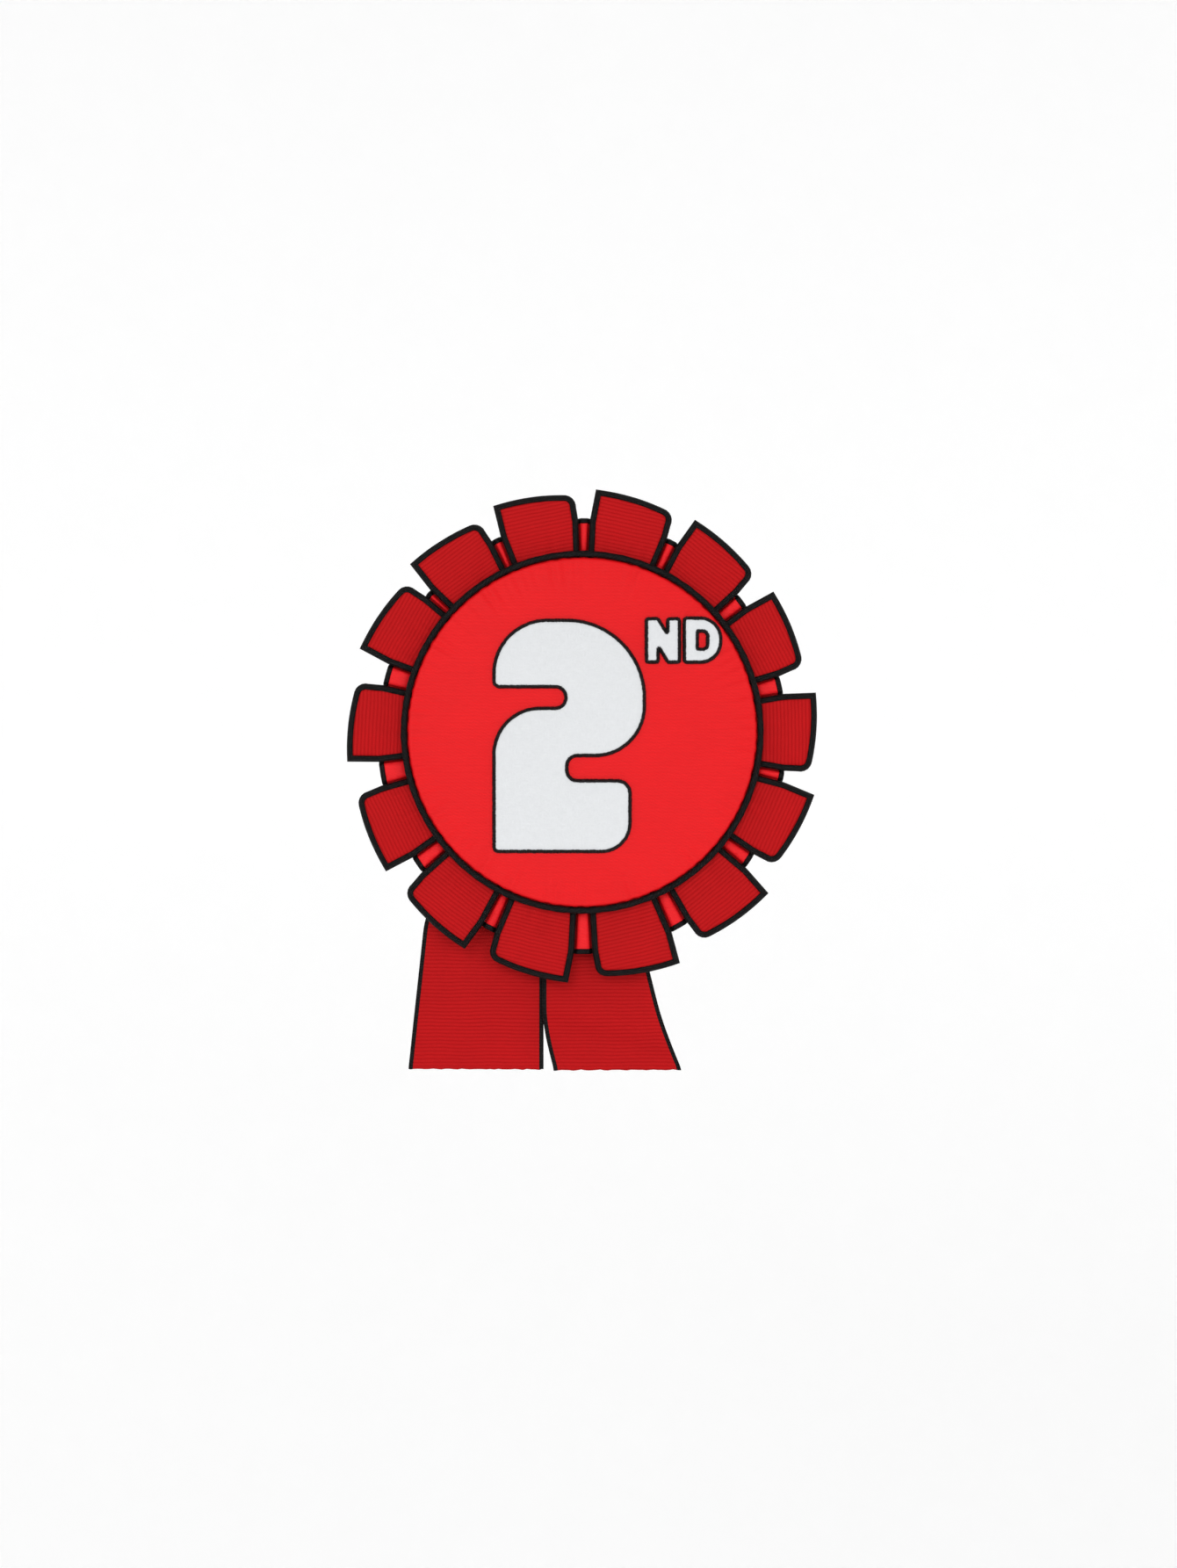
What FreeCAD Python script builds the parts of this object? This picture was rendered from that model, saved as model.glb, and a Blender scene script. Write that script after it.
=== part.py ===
import FreeCAD, Part
import math
import os
import re

import Sketcher

# A second-place prize rosette, in millimetres.
# It stands upright with its front towards -Y, +Z up and +X to the right seen from the front.
# The origin is the centre of the back cover's back face, which rests against the wearer's cloth.
#
# Each sub-part is drawn lying on its back: x to the right, y up the rosette, z towards the front.
# stand() then turns it upright, and its depth is how far in front of the origin its own back lies.

DIMENSIONS = {
    # the stack of layers, from the back to the front
    "cover_radius": 46.0,
    "cover_thick": 1.0,
    "tail_gap": 1.4,
    "card_radius": 52.0,
    "card_thick": 1.3,
    "staple_room": 0.45,
    "underlay_thick": 1.2,
    "layer_gap": 0.8,
    "tab_thick": 3.0,
    # the button
    "face_radius": 50.0,
    "face_cloth": 0.5,
    "button_card_radius": 49.3,
    "button_card_thick": 1.3,
    "dome_edge": 1.9,
    "dome_rise": 3.6,
    "piping_radius": 0.9,
    "piping_ring": 50.95,
    "applique_lift": 0.05,
    "applique_thick": 0.8,
    "border_thick": 1.0,
    "border_width": 0.7,
    # the ruffle: the ribbon is gathered a little taller than wide and hangs a little low
    "ruffle_tall": 1.5,
    "ruffle_sag": 1.1,
    "underlay_wide": 58.0,
    "underlay_high": 61.7,
    "underlay_lap": 0.75,
    "tab_root": 26.0,
    "tab_half_angle": 10.0,
    "tab_bend_reach": 60.0,
    "tab_round_start": 64.2,
    "tab_side_angle": 9.5,
    "tab_round_reach": 66.9,
    "tab_round_angle": 7.6,
    "tab_round_radius": 2.5,
    "tab_edge_radius": 62.0,
    "tab_sharp_reach": 68.4,
    "tab_sharp_angle": 9.0,
    "tab_lap": 0.88,
    "lap_cloth": 0.3,
    "binding_start": 44.0,
    # the tails
    "tail_thick": 0.7,
    "tail_lift": 0.1,
    "head_top": -34.0,
    "head_low": -51.0,
    "tail_high": -52.6,
    "tail_end": -96.8,
    "seam_left": -11.6,
    "seam_right": -11.3,
    "left_head": -30.0,
    "left_waist": -45.3,
    "left_foot": -50.0,
    "right_head": 8.0,
    "right_waist": 15.4,
    "right_knee": 22.7,
    "right_foot": 28.4,
    "right_toe": -8.2,
    "knee_height": -82.0,
    "toe_height": -84.0,
    # staples and glue
    "staple_wire": 0.45,
    "staple_bite": 0.05,
    "ruffle_staple_ring": 31.0,
    "ruffle_staple_width": 6.0,
    "tail_staple_width": 8.0,
    "glue_radius": 3.2,
    "glue_ring": 22.0,
    # the bar pin
    "pin_rise": 14.0,
    "plate_length": 38.0,
    "plate_width": 6.4,
    "plate_thick": 0.6,
    "rivet_offset": 10.0,
    "rivet_radius": 0.8,
    "rivet_hole": 0.85,
    "rivet_head": 1.5,
    "rivet_head_thick": 0.45,
    "needle_height": 6.0,
    "needle_radius": 0.45,
    "needle_tip_radius": 0.06,
    "needle_taper_start": 11.5,
    "needle_tip": 16.9,
    "hinge_offset": -17.0,
    "eye_radius": 1.25,
    "eye_bore": 0.55,
    "eye_width": 2.6,
    "ear_radius": 1.6,
    "ear_gap": 3.1,
    "ear_thick": 0.6,
    "hinge_rivet_radius": 0.5,
    "hinge_rivet_head": 0.95,
    "hinge_rivet_head_thick": 0.35,
    "catch_start": 13.0,
    "catch_length": 3.4,
    "catch_radius": 2.35,
    "catch_bore": 1.75,
    "catch_slot": 1.7,
    "catch_foot_width": 2.8,
    "catch_base_length": 5.4,
    "catch_base_width": 5.2,
    "catch_base_thick": 0.5,
    "roller_radius": 1.7,
    "roller_bore": 0.8,
    "roller_slot": 1.5,
    "roller_flange": 2.2,
    "roller_flange_thick": 0.6,
    "roller_play": 0.15,
    "thumb_reach": 4.4,
    "thumb_width": 1.8,
}

TAB_COUNT = 14
# how far each tab leans from the even pitch, in degrees, from the tab at the right and anticlockwise
TAB_LEANS = [0, 1, 1, 0, -1, -2.5, -4.5, -2.5, 0, 0.5, 0, 0.5, 1, 1]
# the middle of each staple through the tails' heads, across and up, in millimetres
TAIL_STAPLES = [(-23.5, -36.8), (-16.5, -40.5), (-6.5, -41.5), (3.5, -41.5)]
GLUE_DOTS = 5
FIRST_GLUE_DOT = 18

COVER_DEPTH = "0"
GAP_DEPTH = "cover_thick"
TAIL_DEPTH = "cover_thick + staple_wire + tail_lift"
CARD_DEPTH = "cover_thick + tail_gap"
UNDERLAY_DEPTH = CARD_DEPTH + " + card_thick + staple_room"
TAB_DEPTH = UNDERLAY_DEPTH + " + underlay_thick + layer_gap"
BUTTON_DEPTH = TAB_DEPTH + " + tab_thick + staple_room"
DOME_SPHERE = "(face_radius^2 + dome_rise^2) / (2 * dome_rise)"
DOME_TOP = "dome_edge + dome_rise"

V = FreeCAD.Vector
UPRIGHT = FreeCAD.Rotation(V(1, 0, 0), 90)
ALONG = {
    "x": FreeCAD.Rotation(V(0, 1, 0), 90),
    "y": FreeCAD.Rotation(V(1, 0, 0), -90),
    "z": FreeCAD.Rotation(),
}

doc = FreeCAD.newDocument("PrizeRosette")
sheet = doc.addObject("Spreadsheet::Sheet", "Dims")
for row, (name, size) in enumerate(DIMENSIONS.items(), 1):
    sheet.set(f"A{row}", name)
    sheet.set(f"B{row}", str(size))
    sheet.setAlias(f"B{row}", name)
gauge = doc.addObject("App::FeaturePython", "Gauge")
gauge.addProperty("App::PropertyFloat", "Value")
doc.recompute()

pieces = []


# ---------------------------------------------------------------- sizes and places


def live(expression):
    """The expression with the name of each dimension pointed at its cell in the sheet."""
    def cell(word):
        return "Dims." + word[0] if word[0] in DIMENSIONS else word[0]

    return re.sub(r"[a-z][a-z_]+", cell, expression)


def number(expression):
    """What an expression comes to, read from the sheet."""
    gauge.setExpression("Value", live(expression))
    gauge.recompute()
    return gauge.Value


def bind(item, **sizes):
    """Ties each named size of an object to an expression."""
    for size, expression in sizes.items():
        item.setExpression(size, live(expression))
    return item


def place(item, x="0", y="0", z="0", rotation=FreeCAD.Rotation()):
    """Puts an object at a point whose coordinates stay tied to the sheet."""
    item.Placement = FreeCAD.Placement(V(number(x), number(y), number(z)), rotation)
    for axis, expression in zip("xyz", (x, y, z)):
        item.setExpression("Placement.Base." + axis, live(expression))
    return item


def stand(item, label, depth, height="0", turn=0.0):
    """Names a finished sub-part and stands it upright, turned by so many degrees about the front axis."""
    item.Label = label
    place(item, "0", f"-({depth})", height, UPRIGHT * FreeCAD.Rotation(V(0, 0, 1), turn))
    pieces.append(item)
    return item


# ---------------------------------------------------------------- solids


def block(name, length, width, height, x, y, z):
    item = bind(doc.addObject("Part::Box", name), Length=length, Width=width, Height=height)
    return place(item, x, y, z)


def rod(name, radius, length, x="0", y="0", z="0", along="z"):
    item = bind(doc.addObject("Part::Cylinder", name), Radius=radius, Height=length)
    return place(item, x, y, z, ALONG[along])


def cut(name, base, tool):
    item = doc.addObject("Part::Cut", name)
    item.Base = base
    item.Tool = tool
    return item


def fuse(name, *shapes):
    item = doc.addObject("Part::MultiFuse", name)
    item.Shapes = list(shapes)
    return item


def common(name, *shapes):
    item = doc.addObject("Part::MultiCommon", name)
    item.Shapes = list(shapes)
    return item


def coded(name, shape):
    """A sub-part whose shape follows another's curved surface or repeats, so it is set directly."""
    item = doc.addObject("Part::Feature", name)
    item.Shape = shape
    return item


def sketch_in(body, name):
    sketch = body.newObject("Sketcher::SketchObject", name)
    plane = next(f for f in body.Origin.OriginFeatures if f.Role == "XY_Plane")
    sketch.AttachmentSupport = [(plane, "")]
    sketch.MapMode = "FlatFace"
    return sketch


def hold(sketch, expression, *constraint):
    """Adds one dimension to a sketch and ties it to an expression."""
    index = sketch.addConstraint(Sketcher.Constraint(*constraint, number(expression)))
    sketch.setExpression(f"Constraints[{index}]", live(expression))


def hold_point(sketch, edge, end, x, y):
    hold(sketch, x, "DistanceX", -1, 1, edge, end)
    hold(sketch, y, "DistanceY", -1, 1, edge, end)


def circle(sketch, radius, x="0", y="0"):
    edge = sketch.addGeometry(Part.Circle(V(number(x), number(y), 0), V(0, 0, 1), number(radius)))
    hold(sketch, radius, "Radius", edge)
    hold_point(sketch, edge, 3, x, y)


def arc_between(start, end, radius):
    """An anticlockwise arc from start to end, bulging outwards from an anticlockwise outline."""
    chord = end - start
    inward = V(-chord.y, chord.x, 0).normalize()
    centre = start + chord * 0.5 + inward * math.sqrt(radius**2 - chord.Length**2 / 4)
    first = math.atan2(start.y - centre.y, start.x - centre.x)
    last = math.atan2(end.y - centre.y, end.x - centre.x)
    return Part.ArcOfCircle(Part.Circle(centre, V(0, 0, 1), radius), first, last)


def outline(sketch, corners, arcs=None):
    """A closed anticlockwise outline through corners, each a pair of expressions.
    arcs gives a radius to the edges that leave some of the corners, by the corner's place in the list."""
    arcs = arcs or {}
    points = [V(number(x), number(y), 0) for x, y in corners]
    edges = []
    for index, start in enumerate(points):
        end = points[(index + 1) % len(points)]
        if index in arcs:
            edge = sketch.addGeometry(arc_between(start, end, number(arcs[index])))
        else:
            edge = sketch.addGeometry(Part.LineSegment(start, end))
        edges.append(edge)
    for index, edge in enumerate(edges):
        hold_point(sketch, edge, 1, *corners[index])
        sketch.addConstraint(Sketcher.Constraint("Coincident", edge, 2, edges[(index + 1) % len(edges)], 1))
        if index in arcs:
            hold(sketch, arcs[index], "Radius", edge)


def slab(name, thickness, draw, *details):
    """A body padded to a thickness from the sketch that draw makes."""
    body = doc.addObject("PartDesign::Body", name)
    sketch = sketch_in(body, name + "_outline")
    draw(sketch, *details)
    pad = body.newObject("PartDesign::Pad", name + "_pad")
    pad.Profile = sketch
    bind(pad, Length=thickness)
    return body


def pierce(body, name, *holes):
    """Cuts round holes, each a radius and a centre, through the whole of a body."""
    sketch = sketch_in(body, name + "_holes")
    for radius, x, y in holes:
        circle(sketch, radius, x, y)
    pocket = body.newObject("PartDesign::Pocket", name + "_pocket")
    pocket.Profile = sketch
    pocket.Type = "ThroughAll"
    pocket.SideType = "Symmetric"
    doc.recompute()
    return body


# ---------------------------------------------------------------- the button


def dome(name, radius, lower):
    """The button's outer form, lowered all round: a short drum with a gently domed front."""
    drum = rod(name + "_drum", radius, f"{DOME_TOP} - {lower}")
    ball = bind(doc.addObject("Part::Sphere", name + "_ball"), Radius=f"{DOME_SPHERE} - {lower}")
    place(ball, z=f"{DOME_TOP} - {DOME_SPHERE}")
    return common(name, drum, ball)


def make_button():
    card = rod("button_card", "button_card_radius", "button_card_thick")
    stand(card, "button_card", BUTTON_DEPTH)

    lining = "face_radius - face_cloth"
    foam = cut(
        "button_padding",
        dome("padding_form", lining, "face_cloth"),
        rod("padding_seat", "face_radius", "button_card_thick"),
    )
    stand(foam, "button_padding", BUTTON_DEPTH)

    form = dome("face_form", "face_radius", "0")
    face = cut("button_face", form, dome("face_lining", lining, "face_cloth"))
    stand(face, "button_face", BUTTON_DEPTH)

    piping = doc.addObject("Part::Torus", "button_piping")
    bind(piping, Radius1="piping_ring", Radius2="piping_radius")
    stand(piping, "button_piping", BUTTON_DEPTH + " + layer_gap / 4 + piping_radius")


def rounded_wire(corners):
    """A closed flat outline whose corners, each x, y and a radius, are rounded by tangent arcs."""
    points = [V(x, y, 0) for x, y, radius in corners]
    starts, ends, middles = [], [], []
    for index, corner in enumerate(points):
        back = (points[index - 1] - corner).normalize()
        ahead = (points[(index + 1) % len(points)] - corner).normalize()
        half = back.getAngle(ahead) / 2
        radius = corners[index][2]
        reach = radius / math.tan(half)
        to_centre = (back + ahead).normalize()
        starts.append(corner + back * reach)
        ends.append(corner + ahead * reach)
        middles.append(corner + to_centre * (radius / math.sin(half) - radius))
    edges = []
    for index in range(len(points)):
        edges.append(Part.Arc(starts[index], middles[index], ends[index]).toShape())
        edges.append(Part.LineSegment(ends[index], starts[(index + 1) % len(points)]).toShape())
    return Part.Wire(edges)


def figure_two():
    """A plain heavy 2: a round bowl, and a square foot, parted by two round-ended slots."""
    left, right, foot_right = -25.0, 17.6, 13.5
    top, bottom = 31.7, -33.9
    slot_tip, slot_round = -4.5, 3.1
    upper_slot = (6.6, 13.0)
    lower_slot = (-14.0, -6.6)
    corners = [
        (left, bottom, 1.0),
        (foot_right, bottom, 8.0),
        (foot_right, lower_slot[0], 3.5),
        (slot_tip, lower_slot[0], slot_round),
        (slot_tip, lower_slot[1], slot_round),
        (right, lower_slot[1], 14.0),
        (right, top, 22.0),
        (left, top, 15.0),
        (left, upper_slot[1], 1.5),
        (slot_tip, upper_slot[1], slot_round),
        (slot_tip, upper_slot[0], slot_round),
        (left, upper_slot[0], 13.0),
    ]
    return Part.Face(rounded_wire(corners))


def letter_n():
    """A plain block N."""
    left, right, bottom, top = 18.4, 27.6, 20.0, 32.2
    stem, slope, nib = 3.1, 7.2, 0.4
    corners = [
        (left, bottom, nib),
        (left + stem, bottom, nib),
        (left + stem, top - slope, nib),
        (right - stem, bottom, nib),
        (right, bottom, nib),
        (right, top, nib),
        (right - stem, top, nib),
        (right - stem, bottom + slope, nib),
        (left + stem, top, nib),
        (left, top, nib),
    ]
    return Part.Face(rounded_wire(corners))


def letter_d():
    """A plain block D with a small counter."""
    left, right, bottom, top = 29.2, 39.4, 20.0, 32.4
    stroke = 3.5
    outer = [(left, bottom, 0.6), (right, bottom, 5.8), (right, top, 5.8), (left, top, 0.6)]
    counter = [
        (left + stroke, bottom + stroke, 0.3),
        (right - stroke, bottom + stroke, 1.5),
        (right - stroke, top - stroke, 1.5),
        (left + stroke, top - stroke, 0.3),
    ]
    return Part.makeFace([rounded_wire(outer), rounded_wire(counter)], "Part::FaceMakerBullseye")


def on_dome(flat, thickness):
    """A flat shape made into a layer that lies on the dome."""
    sphere = number(DOME_SPHERE)
    lift = number("applique_lift")
    centre = V(0, 0, number(DOME_TOP) - sphere)
    post = flat.extrude(V(0, 0, 2 * number(DOME_TOP)))
    inner = Part.makeSphere(sphere + lift, centre)
    outer = Part.makeSphere(sphere + lift + thickness, centre)
    return post.common(outer).cut(inner).Solids


def make_glyph(label, border_label, face):
    width = number("border_width")
    wide = face.makeOffset2D(width)
    felt = on_dome(face, number("applique_thick"))
    border = on_dome(wide.cut(face), number("border_thick"))
    stand(coded(label, Part.makeCompound(felt)), label, BUTTON_DEPTH)
    stand(coded(border_label, Part.makeCompound(border)), border_label, BUTTON_DEPTH)


# ---------------------------------------------------------------- the ruffle


def draw_tab(sketch, stretch):
    """One tab, pointing up. Its left corner is sharp and its right corner is rounded."""

    def corner(reach, angle, grow):
        radius = f"({reach} + ({stretch}))" if grow else reach
        return f"-{radius} * sin({angle} * 1 deg)", f"{radius} * cos({angle} * 1 deg)"

    corners = [
        corner("tab_root", "-tab_half_angle", False),
        corner("tab_bend_reach", "-tab_half_angle", True),
        corner("tab_round_start", "-tab_side_angle", True),
        corner("tab_round_reach", "-tab_round_angle", True),
        corner("tab_sharp_reach", "tab_sharp_angle", True),
        corner("tab_bend_reach", "tab_half_angle", True),
        corner("tab_root", "tab_half_angle", False),
    ]
    outline(sketch, corners, {2: "tab_round_radius", 3: "tab_edge_radius"})


def folded_edge(face, thickness, lap, keep_out=None):
    """A strip of cloth folded over the edge of a flat layer, lapping it by the same amount on both sides."""
    wrap = number("lap_cloth")
    ring = face.makeOffset2D(lap).cut(face.makeOffset2D(-lap))
    strip = ring.extrude(V(0, 0, thickness + 2 * wrap))
    strip.translate(V(0, 0, -wrap))
    strip = strip.cut(face.extrude(V(0, 0, thickness)))
    return strip.cut(keep_out) if keep_out else strip


def make_tab(count, angle):
    stretch = f"-ruffle_tall * cos({2 * angle:.2f} deg) - ruffle_sag * sin({angle:.2f} deg)"
    name = f"tab_{count:02d}"
    tab = slab(name, "tab_thick", draw_tab, stretch)
    doc.recompute()
    flat = Part.Face(tab.Tip.Profile[0].Shape.Wires[0])
    depth = number("tab_thick + 2 * lap_cloth")
    under_button = Part.makeCylinder(number("binding_start"), 2 * depth, V(0, 0, -depth / 2))
    strip = folded_edge(flat, number("tab_thick"), number("tab_lap"), under_button)
    binding = coded("tab_binding_" + name[-2:], strip)
    stand(tab, name, TAB_DEPTH, turn=angle - 90)
    stand(binding, binding.Name, TAB_DEPTH, turn=angle - 90)


def oval(name, grow, thickness, back="0"):
    """A layer with the underlay's outline, made wider all round by grow."""
    edge = doc.addObject("Part::Ellipse", name + "_edge")
    bind(edge, MajorRadius=f"underlay_high + ({grow})", MinorRadius=f"underlay_wide + ({grow})")
    place(edge, y="-ruffle_sag", z=back, rotation=FreeCAD.Rotation(V(0, 0, 1), 90))
    layer = doc.addObject("Part::Extrusion", name)
    layer.Base = edge
    layer.DirMode = "Custom"
    layer.Dir = V(0, 0, 1)
    layer.Solid = True
    return bind(layer, LengthFwd=thickness)


def make_underlay():
    stand(oval("underlay", "0", "underlay_thick"), "underlay", UNDERLAY_DEPTH)
    wrapped = "underlay_thick + 2 * lap_cloth"
    outside = oval("binding_outside", "underlay_lap", wrapped, "-lap_cloth")
    inside = oval("binding_inside", "-underlay_lap", wrapped, "-lap_cloth")
    ring = cut("underlay_ring", outside, inside)
    binding = cut("underlay_binding", ring, oval("underlay_space", "0", "underlay_thick"))
    stand(binding, "underlay_binding", UNDERLAY_DEPTH)


# ---------------------------------------------------------------- cards, staples and glue


def make_cards():
    stand(slab("backing_card", "card_thick", circle, "card_radius"), "backing_card", CARD_DEPTH)
    cover = slab("back_cover", "cover_thick", circle, "cover_radius")
    pierce(cover, "cover", *rivet_holes("pin_rise"))
    stand(cover, "back_cover", COVER_DEPTH)


def rivet_holes(height):
    return [("rivet_hole", side + "rivet_offset", height) for side in ("-", "")]


def staple(width, depth, legs_forward):
    """A wire staple across the x axis: a crown, two legs through the layers, and their clinched ends."""
    wire = number("staple_wire")
    clinch = width / 2 - 2 * wire
    crown = Part.makeBox(width, wire, wire, V(-width / 2, -wire / 2, 0))
    legs = []
    for side in (-1, 1):
        x = side * (width - wire) / 2
        end = x - side * clinch / 2
        legs.append(Part.makeBox(wire, wire, depth + 2 * wire, V(x - wire / 2, -wire / 2, 0)))
        turned = V(end - (clinch + wire) / 2, -wire / 2, depth + wire)
        legs.append(Part.makeBox(clinch + wire, wire, wire, turned))
    shape = crown.multiFuse(legs).removeSplitter()
    if not legs_forward:
        shape = shape.mirror(V(0, 0, 0), V(0, 0, 1))
    return shape


def make_ruffle_staples(angles):
    """One staple through each tab, with its crown in front and its ends turned over behind the card."""
    through = number("tab_thick + layer_gap + underlay_thick + staple_room + card_thick")
    group = []
    for angle in angles:
        one = staple(number("ruffle_staple_width"), through, False)
        one.translate(V(0, number("ruffle_staple_ring"), number("tab_thick + staple_wire")))
        one.rotate(V(0, 0, 0), V(0, 0, 1), angle - 90)
        group.append(one)
    stand(coded("ruffle_staples", Part.makeCompound(group)), "ruffle_staples", TAB_DEPTH)


def make_tail_staples():
    """Two staples through each tail's head, with their ends turned over in front of the card."""
    through = number("tail_thick + tail_lift + card_thick - staple_bite")
    group = []
    for x, y in TAIL_STAPLES:
        one = staple(number("tail_staple_width"), through, True)
        one.translate(V(x, y, 0))
        group.append(one)
    stand(coded("tail_staples", Part.makeCompound(group)), "tail_staples", GAP_DEPTH + " + tail_lift")


def make_glue_dots():
    dots = []
    for index in range(GLUE_DOTS):
        dot = rod(f"dot_{index}", "glue_radius", "tail_gap")
        angle = FIRST_GLUE_DOT + 360 / GLUE_DOTS * index
        place(dot, f"glue_ring * cos({angle} deg)", f"glue_ring * sin({angle} deg)")
        dots.append(dot)
    group = doc.addObject("Part::Compound", "glue_dots")
    group.Links = dots
    stand(group, "glue_dots", GAP_DEPTH)


# ---------------------------------------------------------------- the tails


def make_tails():
    outlines = {
        "tail_left_head": [
            ("left_waist", "head_low"),
            ("seam_left", "head_low"),
            ("seam_left", "head_top"),
            ("left_head", "head_top"),
        ],
        "tail_left": [
            ("left_foot", "tail_end"),
            ("seam_left", "tail_end"),
            ("seam_left", "tail_high"),
            ("left_waist", "tail_high"),
        ],
        "tail_right_head": [
            ("seam_right", "head_low"),
            ("right_waist", "head_low"),
            ("right_head", "head_top"),
            ("seam_right", "head_top"),
        ],
        "tail_right": [
            ("right_toe", "tail_end"),
            ("right_foot", "tail_end"),
            ("right_knee", "knee_height"),
            ("right_waist", "tail_high"),
            ("seam_right", "tail_high"),
            ("seam_right", "toe_height"),
        ],
    }
    for label, corners in outlines.items():
        stand(slab(label, "tail_thick", outline, corners), label, TAIL_DEPTH)


# ---------------------------------------------------------------- the bar pin, which points backwards (-z)


def make_pin_plate():
    """The bar with its two hinge ears, one pressed steel piece."""
    span = "(ear_gap + 2 * ear_thick)"
    axis = ("hinge_offset", f"-{span} / 2", "-needle_height", "y")
    bar_corner = ("-plate_length / 2", "-plate_width / 2", "-plate_thick")
    bar = block("bar", "plate_length", "plate_width", "plate_thick", *bar_corner)
    stem_corner = ("hinge_offset - ear_radius", f"-{span} / 2", "-needle_height")
    ear_stem = block("ear_stem", "2 * ear_radius", span, "needle_height", *stem_corner)
    ear_top = rod("ear_top", "ear_radius", span, *axis)
    space_corner = ("hinge_offset - 2 * ear_radius", "-ear_gap / 2", "-2 * needle_height - plate_thick")
    ear_space = block("ear_space", "4 * ear_radius", "ear_gap", "2 * needle_height", *space_corner)
    ears = cut("ears", fuse("ears_whole", ear_stem, ear_top), ear_space)
    bores = [rod("ear_bore", "hinge_rivet_radius", span, *axis)]
    for index, (radius, x, y) in enumerate(rivet_holes("0")):
        bores.append(rod(f"bar_hole_{index}", radius, "3 * plate_thick", x, y, "-2 * plate_thick"))
    plate = cut("pin_plate", fuse("plate_whole", bar, ears), fuse("plate_bores", *bores))
    stand(plate, "pin_plate", COVER_DEPTH, "pin_rise")


def make_pin_rivets():
    """Two rivets with their heads on the bar and their other ends spread inside the back cover."""
    shanks = []
    for index, side in enumerate(("-", "")):
        x = side + "rivet_offset"
        shank = rod(f"shank_{index}", "rivet_radius", "plate_thick + cover_thick", x, "0", "-plate_thick")
        above = "-plate_thick - rivet_head_thick"
        head = rod(f"head_{index}", "rivet_head", "rivet_head_thick", x, "0", above)
        spread = rod(f"spread_{index}", "rivet_head", "rivet_head_thick", x, "0", "cover_thick")
        shanks.append(fuse(f"pin_rivet_{index}", shank, head, spread))
    group = doc.addObject("Part::Compound", "pin_rivets")
    group.Links = shanks
    stand(group, "pin_rivets", COVER_DEPTH, "pin_rise")


def make_hinge_rivet():
    half = "(ear_gap / 2 + ear_thick)"
    axis = ("hinge_offset", f"-{half}", "-needle_height", "y")
    shank = rod("hinge_shank", "hinge_rivet_radius", f"2 * {half}", *axis)
    heads = []
    for name, y in (("low", f"-{half} - hinge_rivet_head_thick"), ("high", half)):
        end = ("hinge_offset", y, "-needle_height", "y")
        heads.append(rod(f"hinge_head_{name}", "hinge_rivet_head", "hinge_rivet_head_thick", *end))
    stand(fuse("pin_hinge_rivet", shank, *heads), "pin_hinge_rivet", COVER_DEPTH, "pin_rise")


def make_needle():
    """A round wire with an eye at the hinge and a point that lies in the catch."""
    height = "-needle_height"
    eye = rod("eye", "eye_radius", "eye_width", "hinge_offset", "-eye_width / 2", height, "y")
    stem = rod("stem", "needle_radius", "needle_taper_start - hinge_offset", "hinge_offset", "0", height, "x")
    point = bind(
        doc.addObject("Part::Cone", "point"),
        Radius1="needle_radius",
        Radius2="needle_tip_radius",
        Height="needle_tip - needle_taper_start",
    )
    place(point, "needle_taper_start", "0", height, ALONG["x"])
    bore = rod("eye_hole", "eye_bore", "2 * eye_width", "hinge_offset", "-eye_width", height, "y")
    needle = cut("pin_needle", fuse("needle_whole", eye, stem, point), bore)
    stand(needle, "pin_needle", COVER_DEPTH, "pin_rise")


def slot_along(name, width, start, length):
    """The space above the needle's line, open to the back, that the needle lifts out through."""
    return block(name, length, width, "needle_height", start, f"-{width} / 2", "-2 * needle_height")


def make_catch():
    """The fixed housing on its foot and base, with an open back."""
    height = "-needle_height"
    housing = rod("housing", "catch_radius", "catch_length", "catch_start", "0", height, "x")
    foot = block(
        "foot", "catch_length", "catch_foot_width", "needle_height - plate_thick", "catch_start",
        "-catch_foot_width / 2", height,
    )
    base = block(
        "catch_base", "catch_base_length", "catch_base_width", "catch_base_thick",
        "catch_start + (catch_length - catch_base_length) / 2", "-catch_base_width / 2",
        "-plate_thick - catch_base_thick",
    )
    bore = rod("catch_hole", "catch_bore", "3 * catch_length", "catch_start - catch_length", "0", height, "x")
    slot = slot_along("catch_opening", "catch_slot", "catch_start - catch_length", "3 * catch_length")
    catch = cut("pin_catch", fuse("catch_whole", housing, foot, base), fuse("catch_space", bore, slot))
    stand(catch, "pin_catch", COVER_DEPTH, "pin_rise")


def make_roller():
    """The slotted sleeve that turns in the catch, with a flange at each end and a thumb tab."""
    height = "-needle_height"
    start = "(catch_start - roller_play - roller_flange_thick)"
    length = "(catch_length + 2 * roller_play + 2 * roller_flange_thick)"
    far = "(catch_start + catch_length + roller_play)"
    sleeve = rod("sleeve", "roller_radius", length, start, "0", height, "x")
    near_flange = rod("near_flange", "roller_flange", "roller_flange_thick", start, "0", height, "x")
    far_flange = rod("far_flange", "roller_flange", "roller_flange_thick", far, "0", height, "x")
    thumb = block(
        "thumb", "roller_flange_thick", "thumb_reach - roller_bore", "thumb_width", far, "roller_bore",
        "-needle_height - thumb_width / 2",
    )
    bore = rod("roller_hole", "roller_bore", f"3 * {length}", f"{start} - {length}", "0", height, "x")
    slot = slot_along("roller_opening", "roller_slot", f"{start} - {length}", f"3 * {length}")
    whole = fuse("roller_whole", sleeve, near_flange, far_flange, thumb)
    roller = cut("safety_roller", whole, fuse("roller_space", bore, slot))
    stand(roller, "safety_roller", COVER_DEPTH, "pin_rise")


# ---------------------------------------------------------------- the whole rosette

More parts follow.
